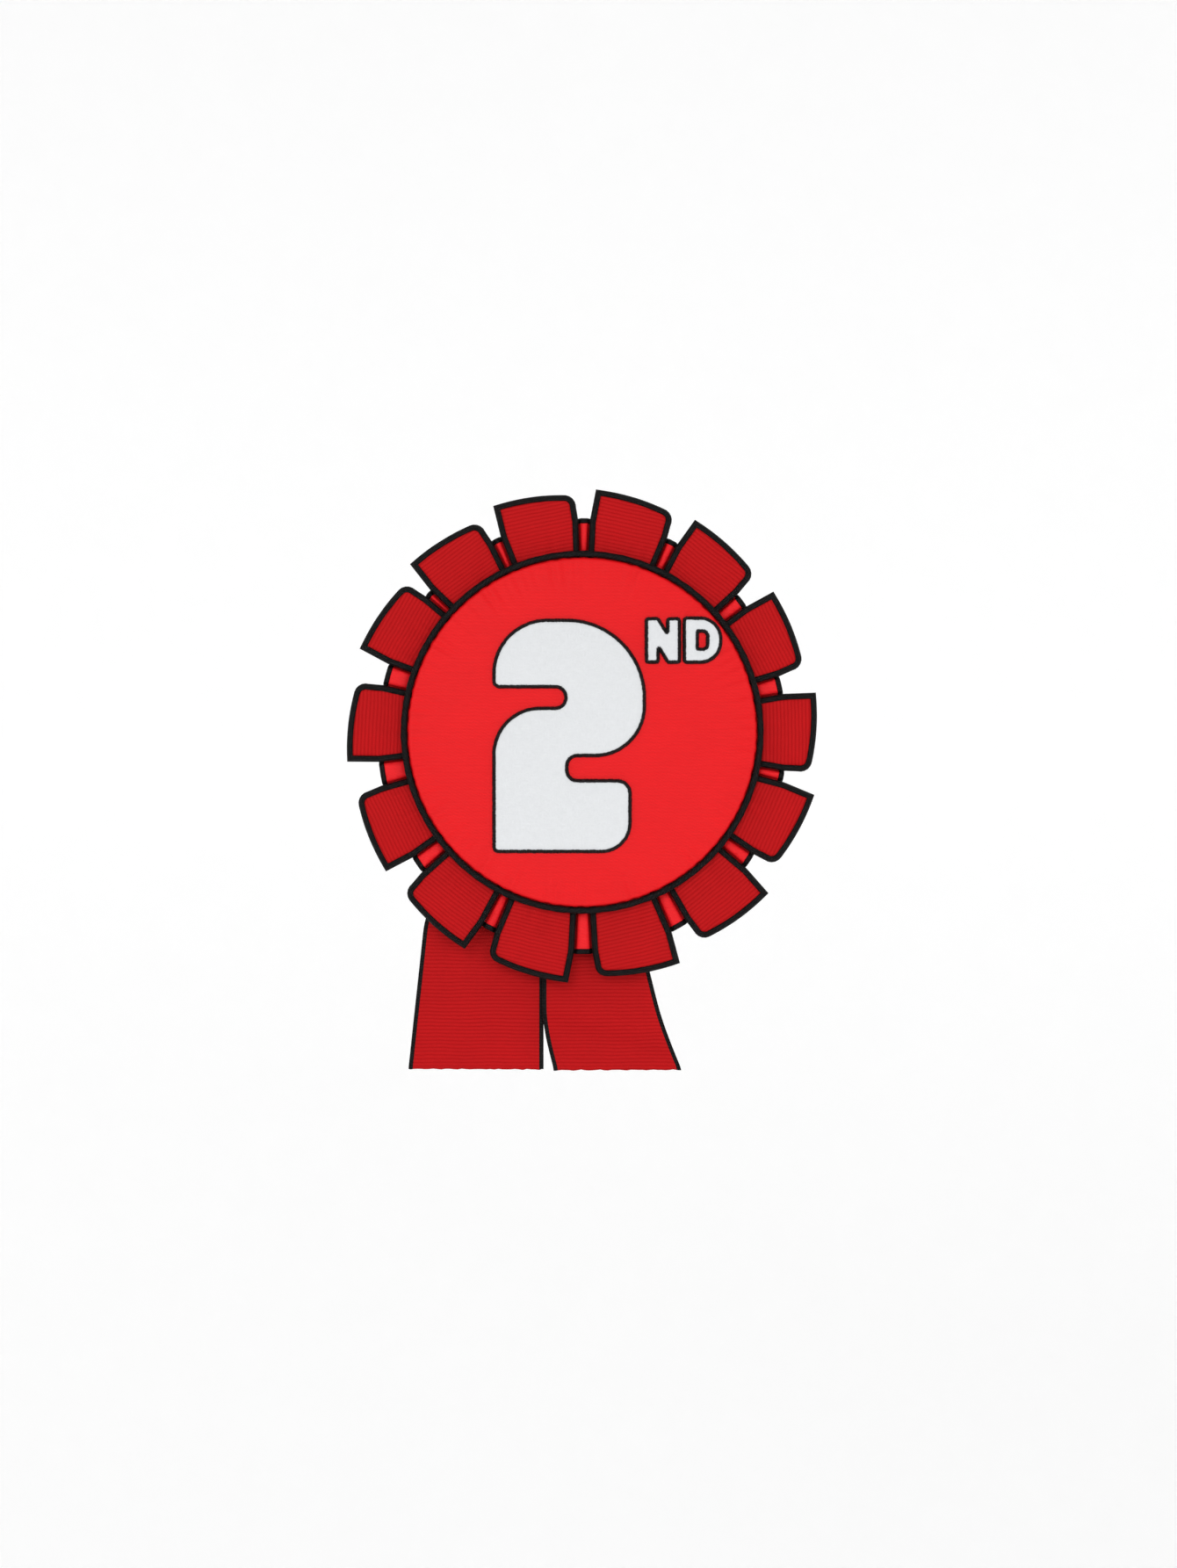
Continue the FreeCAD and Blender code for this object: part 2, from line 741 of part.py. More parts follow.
tab_angles = [360 / TAB_COUNT * index + lean for index, lean in enumerate(TAB_LEANS)]

make_button()
make_glyph("numeral_2", "numeral_2_border", figure_two())
make_glyph("letter_n", "letter_n_border", letter_n())
make_glyph("letter_d", "letter_d_border", letter_d())
for count, angle in enumerate(tab_angles, 1):
    make_tab(count, angle)
make_underlay()
make_cards()
make_ruffle_staples(tab_angles)
make_tail_staples()
make_glue_dots()
make_tails()
make_pin_plate()
make_pin_rivets()
make_hinge_rivet()
make_needle()
make_catch()
make_roller()
doc.recompute()

for item in doc.Objects:
    if "Invalid" in item.State or "Error" in item.State:
        raise RuntimeError(f"{item.Label} failed: {item.State}")
for item in pieces:
    if item.Shape.isNull() or not item.Shape.isValid() or not item.Shape.Solids:
        raise RuntimeError(f"{item.Label} has no valid solid")

os.makedirs("parts", exist_ok=True)
for item in pieces:
    item.Shape.exportStep(f"parts/{item.Label}.step")
print(len(pieces), "sub-parts written")
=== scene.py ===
"""A prize rosette with a bar pin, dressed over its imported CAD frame.

Lengths in the making of shapes are in millimetres and turn into metres in build(). The front of the
rosette faces -Y, and Z is up. "Forward" is a distance towards the viewer, so y = -forward.
"""

import math

import bpy
import numpy as np
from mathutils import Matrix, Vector
from mathutils.bvhtree import BVHTree
from mathutils.geometry import delaunay_2d_cdt


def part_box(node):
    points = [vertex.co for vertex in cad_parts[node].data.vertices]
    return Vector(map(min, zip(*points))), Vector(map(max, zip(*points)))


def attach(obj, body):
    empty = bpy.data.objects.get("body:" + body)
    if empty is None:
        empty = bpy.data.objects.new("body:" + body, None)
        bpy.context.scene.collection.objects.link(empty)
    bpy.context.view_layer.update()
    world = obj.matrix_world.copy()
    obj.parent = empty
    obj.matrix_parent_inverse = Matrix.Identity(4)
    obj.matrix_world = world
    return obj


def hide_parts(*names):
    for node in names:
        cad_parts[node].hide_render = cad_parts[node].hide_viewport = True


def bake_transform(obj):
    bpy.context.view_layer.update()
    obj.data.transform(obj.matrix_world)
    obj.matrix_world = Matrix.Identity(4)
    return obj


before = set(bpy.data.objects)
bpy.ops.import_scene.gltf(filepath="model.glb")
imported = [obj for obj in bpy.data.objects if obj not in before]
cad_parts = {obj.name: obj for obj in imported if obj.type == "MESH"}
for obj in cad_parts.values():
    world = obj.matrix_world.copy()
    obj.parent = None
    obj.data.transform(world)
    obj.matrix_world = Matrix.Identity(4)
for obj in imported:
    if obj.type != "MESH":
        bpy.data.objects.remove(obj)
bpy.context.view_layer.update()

MM = 0.001
TAU = 2 * math.pi
TABS = 14
SLIVER = 0.004
ON_EDGE = 1e-4


# ---------------------------------------------------------------- numbers


def smooth(value, start, end):
    """0 before start, 1 after end, and a smooth step between them."""
    t = np.clip((np.asarray(value, float) - start) / (end - start), 0, 1)
    return t * t * (3 - 2 * t)


def unit(vectors):
    """Each row of an array at length 1."""
    size = np.linalg.norm(vectors, axis=-1, keepdims=True)
    return vectors / np.maximum(size, 1e-9)


def rounded(near, radius):
    """A quarter circle from 0 at an edge to 1 at radius from it."""
    return np.sqrt(1 - (1 - np.clip(near / radius, 0, 1)) ** 2)


def polar(radius, angle):
    """(x, z) places round the middle."""
    return np.stack([radius * np.cos(angle), radius * np.sin(angle)], axis=-1)


def raised(flat, forward):
    """(x, y, z) points from (x, z) places and how far forward they are."""
    return np.stack([flat[..., 0], -forward, flat[..., 1]], axis=-1)


def wander(rng, wavelength, count=4):
    """A smooth seeded wave of about unit height, as a function of a distance."""
    lengths = wavelength * rng.uniform(0.6, 1.8, count)
    phases = rng.uniform(0, TAU, count)

    def wave(distance):
        d = np.asarray(distance, float)[..., None]
        return np.sin(TAU * d / lengths + phases).sum(-1) / math.sqrt(count)

    return wave


def box_mm(node):
    """A CAD node's lowest and highest corners, in millimetres."""
    low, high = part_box(node)
    return np.array(low) / MM, np.array(high) / MM


# ---------------------------------------------------------------- outlines


def outlines(node):
    """The closed edges of a node's front faces as (x, z) lines, the largest first.

    Each runs with the cloth on its left.
    """
    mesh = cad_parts[node].data
    points, edges = {}, {}
    for polygon in mesh.polygons:
        if polygon.normal.y > -0.9:
            continue
        corners = []
        for index in polygon.vertices:
            co = mesh.vertices[index].co
            key = (round(co.x / MM, 3), round(co.y / MM, 3), round(co.z / MM, 3))
            corners.append(points.setdefault(key, len(points)))
        for a, b in zip(corners, corners[1:] + corners[:1]):
            if edges.get(b) and a in edges[b]:
                edges[b].remove(a)
            else:
                edges.setdefault(a, []).append(b)
    places = [(key[0], key[2]) for key in points]
    loops = []
    follow = {a: list(ends) for a, ends in edges.items() if ends}
    while follow:
        start = next(iter(follow))
        loop, at = [], start
        while follow.get(at):
            loop.append(places[at])
            next_at = follow[at].pop()
            if not follow[at]:
                del follow[at]
            at = next_at
            if at == start:
                break
        if len(loop) > 2:
            loops.append(np.array(loop))
    return sorted(loops, key=lambda line: -abs(area_of(line)))


def area_of(loop):
    """A closed line's area, positive if it runs anticlockwise as seen from the front."""
    x, z = loop.T
    return float((x * np.roll(z, -1) - z * np.roll(x, -1)).sum() / 2)


def length_along(line):
    """The distance along a line to each of its points."""
    return np.concatenate([[0], np.cumsum(np.linalg.norm(np.diff(line, axis=0), axis=1))])


def resampled(loop, step, sharp=25):
    """A closed line with a point about every step, and at the corners that turn by over sharp degrees."""
    before, after = unit(loop - np.roll(loop, 1, axis=0)), unit(np.roll(loop, -1, axis=0) - loop)
    turn = np.degrees(np.arccos(np.clip((before * after).sum(1), -1, 1)))
    corners = np.flatnonzero(turn > sharp)
    if not len(corners):
        corners = np.array([0])
    made = []
    for a, b in zip(corners, np.append(corners[1:], corners[0] + len(loop))):
        run = loop[np.arange(a, b + 1) % len(loop)]
        along = length_along(run)
        count = max(1, round(along[-1] / step))
        at = np.linspace(0, along[-1], count + 1)[:-1]
        made.append(np.column_stack([np.interp(at, along, run[:, k]) for k in range(2)]))
    return np.vstack(made)


def outward(line, closed=True):
    """The outward direction at each point of a line with the cloth on its left.

    It is longer at a corner, so that a band keeps its width.
    """
    step = unit(np.roll(line, -1, axis=0) - line)
    side = np.column_stack([step[:, 1], -step[:, 0]])
    before = np.roll(side, 1, axis=0)
    if not closed:
        side[-1] = before[-1]
        before[0] = side[0]
    middle = unit(side + before)
    return middle / np.clip((middle * side).sum(1), 0.55, 1)[:, None]


def edge_distance(points, loops):
    """(the distance from each point to the nearest loop, whether it is inside them)."""
    points = np.asarray(points, float)
    near, inside = np.full(len(points), np.inf), np.zeros(len(points), bool)
    for loop in loops:
        ends = np.roll(loop, -1, axis=0)
        for a, b in zip(loop, ends):
            run, rel = b - a, points - a
            t = np.clip(rel @ run / max(run @ run, 1e-12), 0, 1)
            near = np.minimum(near, np.hypot(*(rel - t[:, None] * run).T))
            if a[1] != b[1]:
                crosses = (a[1] > points[:, 1]) != (b[1] > points[:, 1])
                inside ^= crosses & (points[:, 0] < a[0] + run[0] * rel[:, 1] / run[1])
    return near, inside


def thinned(points, apart):
    """The points that are left when those closer than that to an earlier one are dropped."""
    kept = np.zeros((0, 2))
    for point in points:
        if not len(kept) or np.hypot(*(kept - point).T).min() > apart:
            kept = np.vstack([kept, point])
    return kept


def filled(loops, step, rims=(), extra=None):
    """(points, triangles, distance from the edge) that fill closed loops with an even net.

    rims are the distances of extra rows of points inside the edge. extra is more points, which push
    the even net aside.
    """
    rows = [loop - outward(loop) * rim for rim in rims for loop in loops]
    inner = np.vstack(rows) if rows else np.zeros((0, 2))
    if len(inner):
        near, inside = edge_distance(inner, loops)
        wanted = np.repeat(rims, sum(len(loop) for loop in loops))
        inner = inner[inside & (near > 0.9 * wanted)]
    low, high = np.vstack(loops).min(0), np.vstack(loops).max(0)
    xs = np.arange(low[0], high[0], step)
    zs = np.arange(low[1], high[1], step * math.sqrt(3) / 2)
    net = np.array([(x + (row % 2) * step / 2, z) for row, z in enumerate(zs) for x in xs])
    near, inside = edge_distance(net, loops)
    net = net[inside & (near > max(rims, default=0) + 0.45 * step)]
    if extra is not None:
        far = [np.hypot(*(extra - point).T).min() > 0.6 * step for point in net]
        net = np.vstack([net[np.array(far)], extra])
    edges, first = [], 0
    for loop in loops:
        count = len(loop)
        edges += [(first + k, first + (k + 1) % count) for k in range(count)]
        first += count
    every = np.vstack([*loops, inner, net])
    made = delaunay_2d_cdt([Vector(p) for p in every], edges, [], 0, 1e-7, True)
    points = np.array([(p.x, p.y) for p in made[0]])
    triangles = np.array([list(t) for t in made[2] if len(t) == 3])
    a, b, c = (points[triangles[:, k]] for k in range(3))
    turn = (b - a)[:, 0] * (c - a)[:, 1] - (b - a)[:, 1] * (c - a)[:, 0]
    triangles[turn < 0] = triangles[turn < 0][:, ::-1]
    triangles = triangles[np.abs(turn) > 2 * SLIVER]
    triangles = triangles[edge_distance(points[triangles].mean(1), loops)[1]]
    used = np.unique(triangles)
    place = np.full(len(points), -1)
    place[used] = np.arange(len(used))
    points = points[used]
    return points, place[triangles], edge_distance(points, loops)[0]


# ---------------------------------------------------------------- meshes


def build(name, points, faces, material, cloth=None):
    """A smooth mesh object from points in millimetres.

    cloth is each point's place in the flat cloth, in millimetres, which the weave follows.
    """
    mesh = bpy.data.meshes.new(name)
    mesh.from_pydata((np.asarray(points, float) * MM).tolist(), [], [list(map(int, f)) for f in faces])
    if cloth is not None:
        corner = np.empty(len(mesh.loops), int)
        mesh.loops.foreach_get("vertex_index", corner)
        layer = mesh.uv_layers.new(name="cloth")
        layer.data.foreach_set("uv", (np.asarray(cloth, float)[corner] * MM).astype(np.float32).ravel())
    mesh.polygons.foreach_set("use_smooth", [True] * len(mesh.polygons))
    mesh.validate()
    mesh.materials.append(material)
    piece = bpy.data.objects.new(name, mesh)
    bpy.context.collection.objects.link(piece)
    return piece


def pillow(net, front, back):
    """(points, faces, which of the net's points are inner) of a closed body over a net.

    It lies between two forward distances, which meet at the net's edge. Its points are those in
    front, and then the inner ones again behind.
    """
    flat, triangles, near = net
    rim = near < ON_EDGE
    middle = (front + back) / 2
    front, back = np.where(rim, middle, front), np.where(rim, middle, back)
    behind = np.arange(len(flat))
    behind[~rim] = len(flat) + np.arange((~rim).sum())
    points = np.vstack([raised(flat, front), raised(flat, back)[~rim]])
    return points, np.vstack([triangles, behind[triangles][:, ::-1]]), ~rim


def band(line, section, forward, closed):
    """(points, faces, cloth places) of a closed section of (out, forward) pairs swept along a line.

    forward gives the cloth's middle at (x, z) places.
    """
    count, sides = len(line), len(section)
    flat = line[:, None, :] + outward(line, closed)[:, None, :] * section[None, :, :1]
    level = forward(flat.reshape(-1, 2)).reshape(count, sides) + section[None, :, 1]
    points = raised(flat, level).reshape(-1, 3)
    faces = []
    for k in range(count if closed else count - 1):
        a, b = k * sides, (k + 1) % count * sides
        faces += [(a + i, a + (i + 1) % sides, b + (i + 1) % sides, b + i) for i in range(sides)]
    if not closed:
        faces += [tuple(range(sides))[::-1], tuple((count - 1) * sides + i for i in range(sides))]
    along = length_along(line)
    across = length_along(section)
    places = np.stack(np.meshgrid(along, across, indexing="ij"), axis=-1).reshape(-1, 2)
    return points, faces, places


def folded_section(lap, inside, outside, sides=9):
    """The section of a tape folded over an edge.

    lap is how far it reaches each way from the edge, and inside and outside are its half heights.
    """
    turn = np.linspace(math.pi / 2, -math.pi / 2, sides)
    outer = np.column_stack([0.25 * lap + 0.75 * lap * np.cos(turn), outside * np.sin(turn)])
    inner = np.column_stack([0.1 * lap + 0.5 * lap * np.cos(turn), inside * np.sin(turn)])[::-1]
    ends = (-lap, -0.3 * lap)
    top = [(x, outside * (0.97 if x == -lap else 1)) for x in ends]
    low = [(x, inside) for x in ends]
    return np.array(
        top
        + outer.tolist()
        + [(x, -h) for x, h in reversed(top)]
        + [(x, -h) for x, h in low]
        + inner.tolist()
        + [(x, h) for x, h in reversed(low)]
    )


def tubes(lines, radius, sides=6):
    """(points, faces, cloth places) of closed round threads along an array of lines, one for each."""
    lines = np.asarray(lines, float)
    count, steps = lines.shape[:2]
    ahead = unit(np.gradient(lines, axis=1))
    side = unit(np.cross(ahead, (0, 1, 0)))
    top = np.cross(side, ahead)
    turn = TAU * np.arange(sides) / sides
    ends = np.ones(steps)
    ends[[0, -1]] = 0.45
    around = np.cos(turn)[:, None] * side[:, :, None, :] + np.sin(turn)[:, None] * top[:, :, None, :]
    points = lines[:, :, None, :] + radius * ends[None, :, None, None] * around
    ring = np.arange(sides)
    one = []
    for k in range(steps - 1):
        a, b = k * sides, (k + 1) * sides
        one += [(a + i, b + i, b + (i + 1) % sides, a + (i + 1) % sides) for i in ring]
    one += [tuple(ring), tuple((steps - 1) * sides + ring[::-1])]
    firsts = steps * sides * np.arange(count)
    faces = [tuple(first + v for v in face) for first in firsts for face in one]
    run = np.linalg.norm(np.diff(lines, axis=1), axis=2).cumsum(1)
    run = np.concatenate([np.zeros((count, 1)), run], axis=1)
    places = np.stack(np.broadcast_arrays(run[:, :, None], (radius * turn)[None, None, :]), axis=-1)
    return points.reshape(-1, 3), faces, places.reshape(-1, 2)


def together(*parts):
    """Several (points, faces, cloth places) as one."""
    points, faces, places, first = [], [], [], 0
    for some_points, some_faces, some_places in parts:
        points.append(some_points)
        places.append(some_places)
        faces += [tuple(first + v for v in face) for face in some_faces]
        first += len(some_points)
    return np.vstack(points), faces, np.vstack(places)


def running_stitches(line, inset, length, gap, radius, forward, height):
    """Small straight stitches along a line, inset from the edge, on the front and on the back."""
    path = line - outward(line, False) * inset
    along = length_along(path)
    starts = np.arange(0.6, along[-1] - length, length + gap)
    steps = np.linspace(0, 1, 5)
    at = starts[:, None] + length * steps
    flat = np.stack([np.interp(at, along, path[:, k]) for k in range(2)], axis=-1)
    middle = forward(flat.reshape(-1, 2)).reshape(at.shape)
    rise = height + radius * (1.1 * np.sin(math.pi * steps) - 0.5)
    return together(*(tubes(raised(flat, middle + face * rise), radius) for face in (1, -1)))


# ---------------------------------------------------------------- materials


class Finish:
    """A node material round one Principled shader. The even values go straight on the shader's sockets."""

    def __init__(self, name, **even):
        self.material = bpy.data.materials.new(name)
        self.material.use_nodes = True
        self.nodes = self.material.node_tree.nodes
        self.links = self.material.node_tree.links
        self.shader = self.nodes["Principled BSDF"]
        for key, value in even.items():
            self.shader.inputs[key.replace("_", " ")].default_value = value

    def node(self, kind, inputs, **settings):
        made = self.nodes.new("ShaderNode" + kind)
        for key, value in settings.items():
            setattr(made, key, value)
        for key, value in inputs.items():
            self.feed(made.inputs[key], value)
        return made

    def feed(self, socket, value):
        if isinstance(value, bpy.types.NodeSocket):
            self.links.new(value, socket)
        else:
            socket.default_value = value

    def math(self, operation, *values):
        return self.node("Math", dict(enumerate(values)), operation=operation).outputs[0]

    def places(self, on_cloth):
        """(vector, x, y, z) in millimetres, on the flat cloth or else in the model's own frame."""
        source = self.node("UVMap", {}, uv_map="cloth") if on_cloth else self.node("TexCoord", {})
        output = source.outputs["UV" if on_cloth else "Object"]
        vector = self.node("VectorMath", {0: output, 1: (1 / MM,) * 3}, operation="MULTIPLY").outputs[0]
        split = self.node("SeparateXYZ", {0: vector})
        return vector, *split.outputs

    def noise(self, vector, size, detail=2.0, stretch=(1, 1, 1)):
        """Noise whose lumps are about size millimetres across."""
        times = tuple(share / size for share in stretch)
        scaled = self.node("VectorMath", {0: vector, 1: times}, operation="MULTIPLY")
        made = self.node("TexNoise", {"Vector": scaled.outputs[0], "Scale": 1.0, "Detail": detail})
        return made.outputs["Fac"]

    def wave(self, value, pitch):
        """0 to 1 and back once each pitch."""
        turned = self.math("SINE", self.math("MULTIPLY", value, TAU / pitch))
        return self.math("MULTIPLY_ADD", turned, 0.5, 0.5)

    def mix(self, share, low, high):
        made = self.node("Mix", {}, data_type="RGBA")
        self.feed(made.inputs["Factor"], share)
        for key, value in ((6, low), (7, high)):
            self.feed(made.inputs[key], value)
        return made.outputs[2]

    def bump(self, height, depth, strength=1.0):
        """Relief of that depth in millimetres."""
        made = self.node("Bump", {"Strength": strength, "Distance": depth * MM, "Height": height})
        self.feed(self.shader.inputs["Normal"], made.outputs[0])

    def colour(self, value):
        self.feed(self.shader.inputs["Base Color"], value)

    def rough(self, value, low, high):
        made = self.node("MapRange", {"Value": value, "To Min": low, "To Max": high})
        self.feed(self.shader.inputs["Roughness"], made.outputs[0])


def linear(red, green, blue, times=1.0):
    """A colour given as 0 to 255, for a shader, made darker or lighter by times."""
    values = [c / 255 for c in (red, green, blue)]
    values = [c / 12.92 if c <= 0.04045 else ((c + 0.055) / 1.055) ** 2.4 for c in values]
    return (*(min(1.0, c * times) for c in values), 1.0)


def satin_weave(name, rgb, pitch):
    """Satin: long floats over five threads, each row two threads on from the last."""
    f = Finish(
        name,
        Specular_IOR_Level=0.22,
        Sheen_Weight=0.05,
        Sheen_Roughness=0.4,
        Sheen_Tint=linear(*rgb),
        Anisotropic=0.25,
    )
    vector, x, y, _ = f.places(True)
    drift = f.math("MULTIPLY", f.math("SUBTRACT", f.noise(vector, 9.0), 0.5), 0.5)
    row = f.math("DIVIDE", f.math("ADD", y, drift), pitch)
    step = f.math("MULTIPLY", f.math("FLOOR", row), 0.4)
    float_at = f.math("FRACT", f.math("ADD", f.math("DIVIDE", x, 5 * pitch), step))
    thread = f.math("SINE", f.math("MULTIPLY", f.math("FRACT", row), math.pi))
    bow = f.math("POWER", f.math("SINE", f.math("MULTIPLY", float_at, math.pi)), 0.5)
    height = f.math("MULTIPLY", thread, f.math("MULTIPLY_ADD", bow, 0.55, 0.45))
    cloudy = f.noise(vector, 14.0, 3.0)
    slub = f.noise(vector, 1.0, 1.0, (0.12, 1.6, 1.0))
    base = f.mix(cloudy, linear(*rgb, 0.93), linear(*rgb, 1.07))
    # Painted shade and light: the weave's low places are painted up to 28% darker, and its raised floats
    # and slubs lighter, as light and shade fall on them.
    painted_weave_light = f.math("MULTIPLY_ADD", height, 0.75, f.math("MULTIPLY", slub, 0.25))
    f.colour(f.mix(painted_weave_light, linear(*rgb, 0.72), base))
    f.rough(height, 0.62, 0.46)
    f.bump(f.math("MULTIPLY_ADD", slub, 0.35, height), 0.055, 0.7)
    return f.material


def ribbed_weave(name, rgb, pitch, rib_valley_shade=0.75, shine=0.15):
    """Grosgrain ribbon: cross ribs, with the fine lengthwise threads that hold them."""
    f = Finish(
        name,
        Specular_IOR_Level=shine,
        Sheen_Weight=0.03,
        Sheen_Roughness=0.5,
        Sheen_Tint=linear(*rgb),
    )
    vector, x, y, _ = f.places(True)
    drift = f.math("MULTIPLY", f.math("SUBTRACT", f.noise(vector, 12.0), 0.5), 0.9)
    along = f.math("ADD", y, drift)
    row = f.math("MULTIPLY", f.math("FLOOR", f.math("DIVIDE", along, pitch)), 0.5)
    rib = f.math("SINE", f.math("MULTIPLY", f.math("FRACT", f.math("DIVIDE", along, pitch)), math.pi))
    warp = f.wave(f.math("ADD", x, f.math("MULTIPLY", row, 0.42)), 0.42)
    height = f.math("MULTIPLY", rib, f.math("MULTIPLY_ADD", warp, 0.3, 0.7))
    cloudy = f.noise(vector, 11.0, 3.0)
    base = f.mix(cloudy, linear(*rgb, 0.9), linear(*rgb, 1.1))
    # Painted shade: the valleys between the ribs are painted darker than the rib tops, down to the given
    # share of the colour.
    f.colour(f.mix(height, linear(*rgb, rib_valley_shade), base))
    f.rough(height, 0.8, 0.6)
    f.bump(height, 0.09, 0.8)
    return f.material


def thread(name, rgb):
    """Twisted sewing thread."""
    f = Finish(name, Specular_IOR_Level=0.2, Sheen_Weight=0.04)
    vector, x, y, _ = f.places(True)
    ply = f.wave(f.math("ADD", x, f.math("MULTIPLY", y, 0.8)), 0.42)
    # Painted light and shade: the crowns of the twisted plies are painted lighter and the grooves between
    # them darker.
    f.colour(f.mix(ply, linear(*rgb, 0.6), linear(*rgb, 1.5)))
    f.rough(f.noise(vector, 0.8), 0.38, 0.55)
    f.bump(ply, 0.03, 0.7)
    return f.material


def felt(name, rgb):
    """Pressed wool felt: short fibres lying every way, with soft lumps."""
    f = Finish(name, Specular_IOR_Level=0.2, Sheen_Weight=0.35, Sheen_Roughness=0.6)
    vector, *_ = f.places(True)
    fibres = f.noise(vector, 0.55, 5.0, (1.0, 0.35, 1.0))
    crossed = f.noise(vector, 0.55, 5.0, (0.35, 1.0, 1.0))
    lumps = f.noise(vector, 2.6, 3.0)
    height = f.math("ADD", f.math("MAXIMUM", fibres, crossed), f.math("MULTIPLY", lumps, 0.6))
    base = f.mix(lumps, linear(*rgb, 0.95), linear(*rgb, 1.02))
    f.colour(f.mix(f.math("MAXIMUM", fibres, crossed), linear(*rgb, 0.84), base))
    f.rough(fibres, 0.98, 0.82)
    f.bump(height, 0.16, 0.7)
    return f.material


def board(name, rgb):
    """Grey card: fibre flecks, and a darker, handled rim."""
    f = Finish(name, Specular_IOR_Level=0.3)
    vector, x, _, z = f.places(False)
    flecks = f.noise(vector, 0.9, 4.0, (1.0, 1.0, 0.3))
    mottle = f.noise(vector, 7.0, 3.0)
    radius = f.math("SQRT", f.math("ADD", f.math("MULTIPLY", x, x), f.math("MULTIPLY", z, z)))
    reach = f.math("MULTIPLY_ADD", mottle, 4.0, radius)
    rubbed = f.node("MapRange", {"Value": reach, "From Min": 44.0, "From Max": 49.0}).outputs[0]
    base = f.mix(mottle, linear(*rgb, 0.9), linear(*rgb, 1.05))
    flecked = f.mix(f.math("GREATER_THAN", flecks, 0.68), base, linear(*rgb, 0.8))
    f.colour(f.mix(f.math("MULTIPLY", rubbed, 0.35), flecked, linear(*rgb, 0.55)))
    f.rough(mottle, 0.78, 0.92)
    f.bump(flecks, 0.05, 0.6)
    return f.material


def foam(name, rgb):
    """Open-cell foam."""
    f = Finish(name, Specular_IOR_Level=0.2)
    vector, *_ = f.places(True)
    net = f.node("TexVoronoi", {"Vector": vector, "Scale": 1.1}, feature="DISTANCE_TO_EDGE")
    cells = net.outputs["Distance"]
    # Painted shade: the grooves along the cell edges are painted 30% darker than the cells.
    f.colour(f.mix(cells, linear(*rgb, 0.7), linear(*rgb)))
    f.rough(cells, 0.95, 0.85)
    f.bump(cells, 0.3, 0.8)
    return f.material


def hot_glue(name, rgb):
    """Set hot-melt glue: cloudy, with small ripples."""
    f = Finish(name, Specular_IOR_Level=0.5, Subsurface_Weight=0.25)
    vector, *_ = f.places(False)
    ripples = f.noise(vector, 2.2, 2.0)
    f.colour(f.mix(ripples, linear(*rgb, 0.85), linear(*rgb, 1.05)))
    f.rough(ripples, 0.22, 0.4)
    f.bump(ripples, 0.12, 0.5)
    return f.material


def plated(name, rgb, brushed):
    """Nickel-plated steel: drawn or rolled scratches along X, faint smudges, and duller specks."""
    f = Finish(name, Metallic=1.0)
    vector, *_ = f.places(False)
    scratches = f.noise(vector, 0.5, 3.0, (0.04, 1.0, 1.0))
    smudges = f.noise(vector, 5.0, 3.0)
    specks = f.math("GREATER_THAN", f.noise(vector, 0.45, 2.0), 0.71)
    base = f.mix(scratches, linear(*rgb, 0.82), linear(*rgb, 1.08))
    f.colour(f.mix(f.math("MULTIPLY", specks, 0.35), base, linear(*rgb, 0.45)))
    blend = f.math("MULTIPLY_ADD", smudges, 0.6, f.math("MULTIPLY", scratches, 0.4))
    f.rough(blend, 0.14, 0.14 + brushed)
    f.bump(scratches, 0.008, 0.5)
    return f.material


def studio(name, rgb, glow):
    """A plain pale surface, lit a little from behind."""
    f = Finish(name, Specular_IOR_Level=0.1, Emission_Color=(1.0, 1.0, 1.0, 1.0), Emission_Strength=glow)
    vector, *_ = f.places(False)
    grain = f.noise(vector, 30.0, 4.0)
    f.colour(f.mix(grain, linear(*rgb, 0.99), linear(*rgb, 1.01)))
    f.rough(grain, 0.9, 1.0)
    return f.material


bright = satin_weave("satin_bright", (236, 8, 18), 0.34)
# Painted light: the underlay's satin is a lighter copy of the face's red, painted brighter so that the
# shaded gaps between the tabs come out as bright as the face.
lightened_underlay_satin = satin_weave("satin_lightened_underlay", (255, 22, 32), 0.34)
dark = ribbed_weave("satin_dark", (186, 3, 9), 1.05)
trim = ribbed_weave("trim_black", (11, 9, 10), 0.8, 0.5, 0.16)
stitching = thread("stitch_black", (9, 7, 8))
grey = felt("felt_grey", (224, 226, 228))
card = board("card", (172, 165, 152))
cushion = foam("foam", (228, 222, 204))
glue = hot_glue("glue", (224, 214, 186))
steel = plated("steel", (160, 160, 160), 0.3)
wire = plated("wire", (148, 148, 149), 0.22)

ON_SLOTS = (bright, dark, trim, stitching, grey, card, cushion, glue, steel, wire)
FINISHES = {finish.name.split(".")[0]: finish for finish in ON_SLOTS}

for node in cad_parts.values():
    for index, material in enumerate(node.data.materials):
        node.material_slots[index].material = FINISHES[material.name.split(".")[0]]


# ---------------------------------------------------------------- the ring of tabs


def fit(piece, node):
    """A finished piece takes the place of one of the rosette's CAD nodes."""
    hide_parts(node)
    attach(piece, "rosette")


TAB_LOW, TAB_HIGH = (value[1] for value in box_mm("tab_01"))
TAB_MIDDLE = -(TAB_LOW + TAB_HIGH) / 2
TAPE_LAP = 0.88
CLOTH_HALF = 1.2
TAPE_HALF = 1.55
TAPE_ROOT = 45.0
TAPE_STEP = 0.8
NET_STEP = 0.85
TAB_SPREAD = 0.19
CLEAR_OF_BUTTON = 52.0
TAB_FREE = 61.0
TIP = (60, 71)
CORNER = (62, 71)
PINCHED = (49, 51.5)
UNPINCHED = (53, 60)
SWELL_START = 47.0
SWELL_FULL = 53.0
SWELL_FLANK = (0.0, 0.72)
FLANK_ROWS = (-0.05, 0.35, 0.75)
UNDERLAY_LAP = 0.75


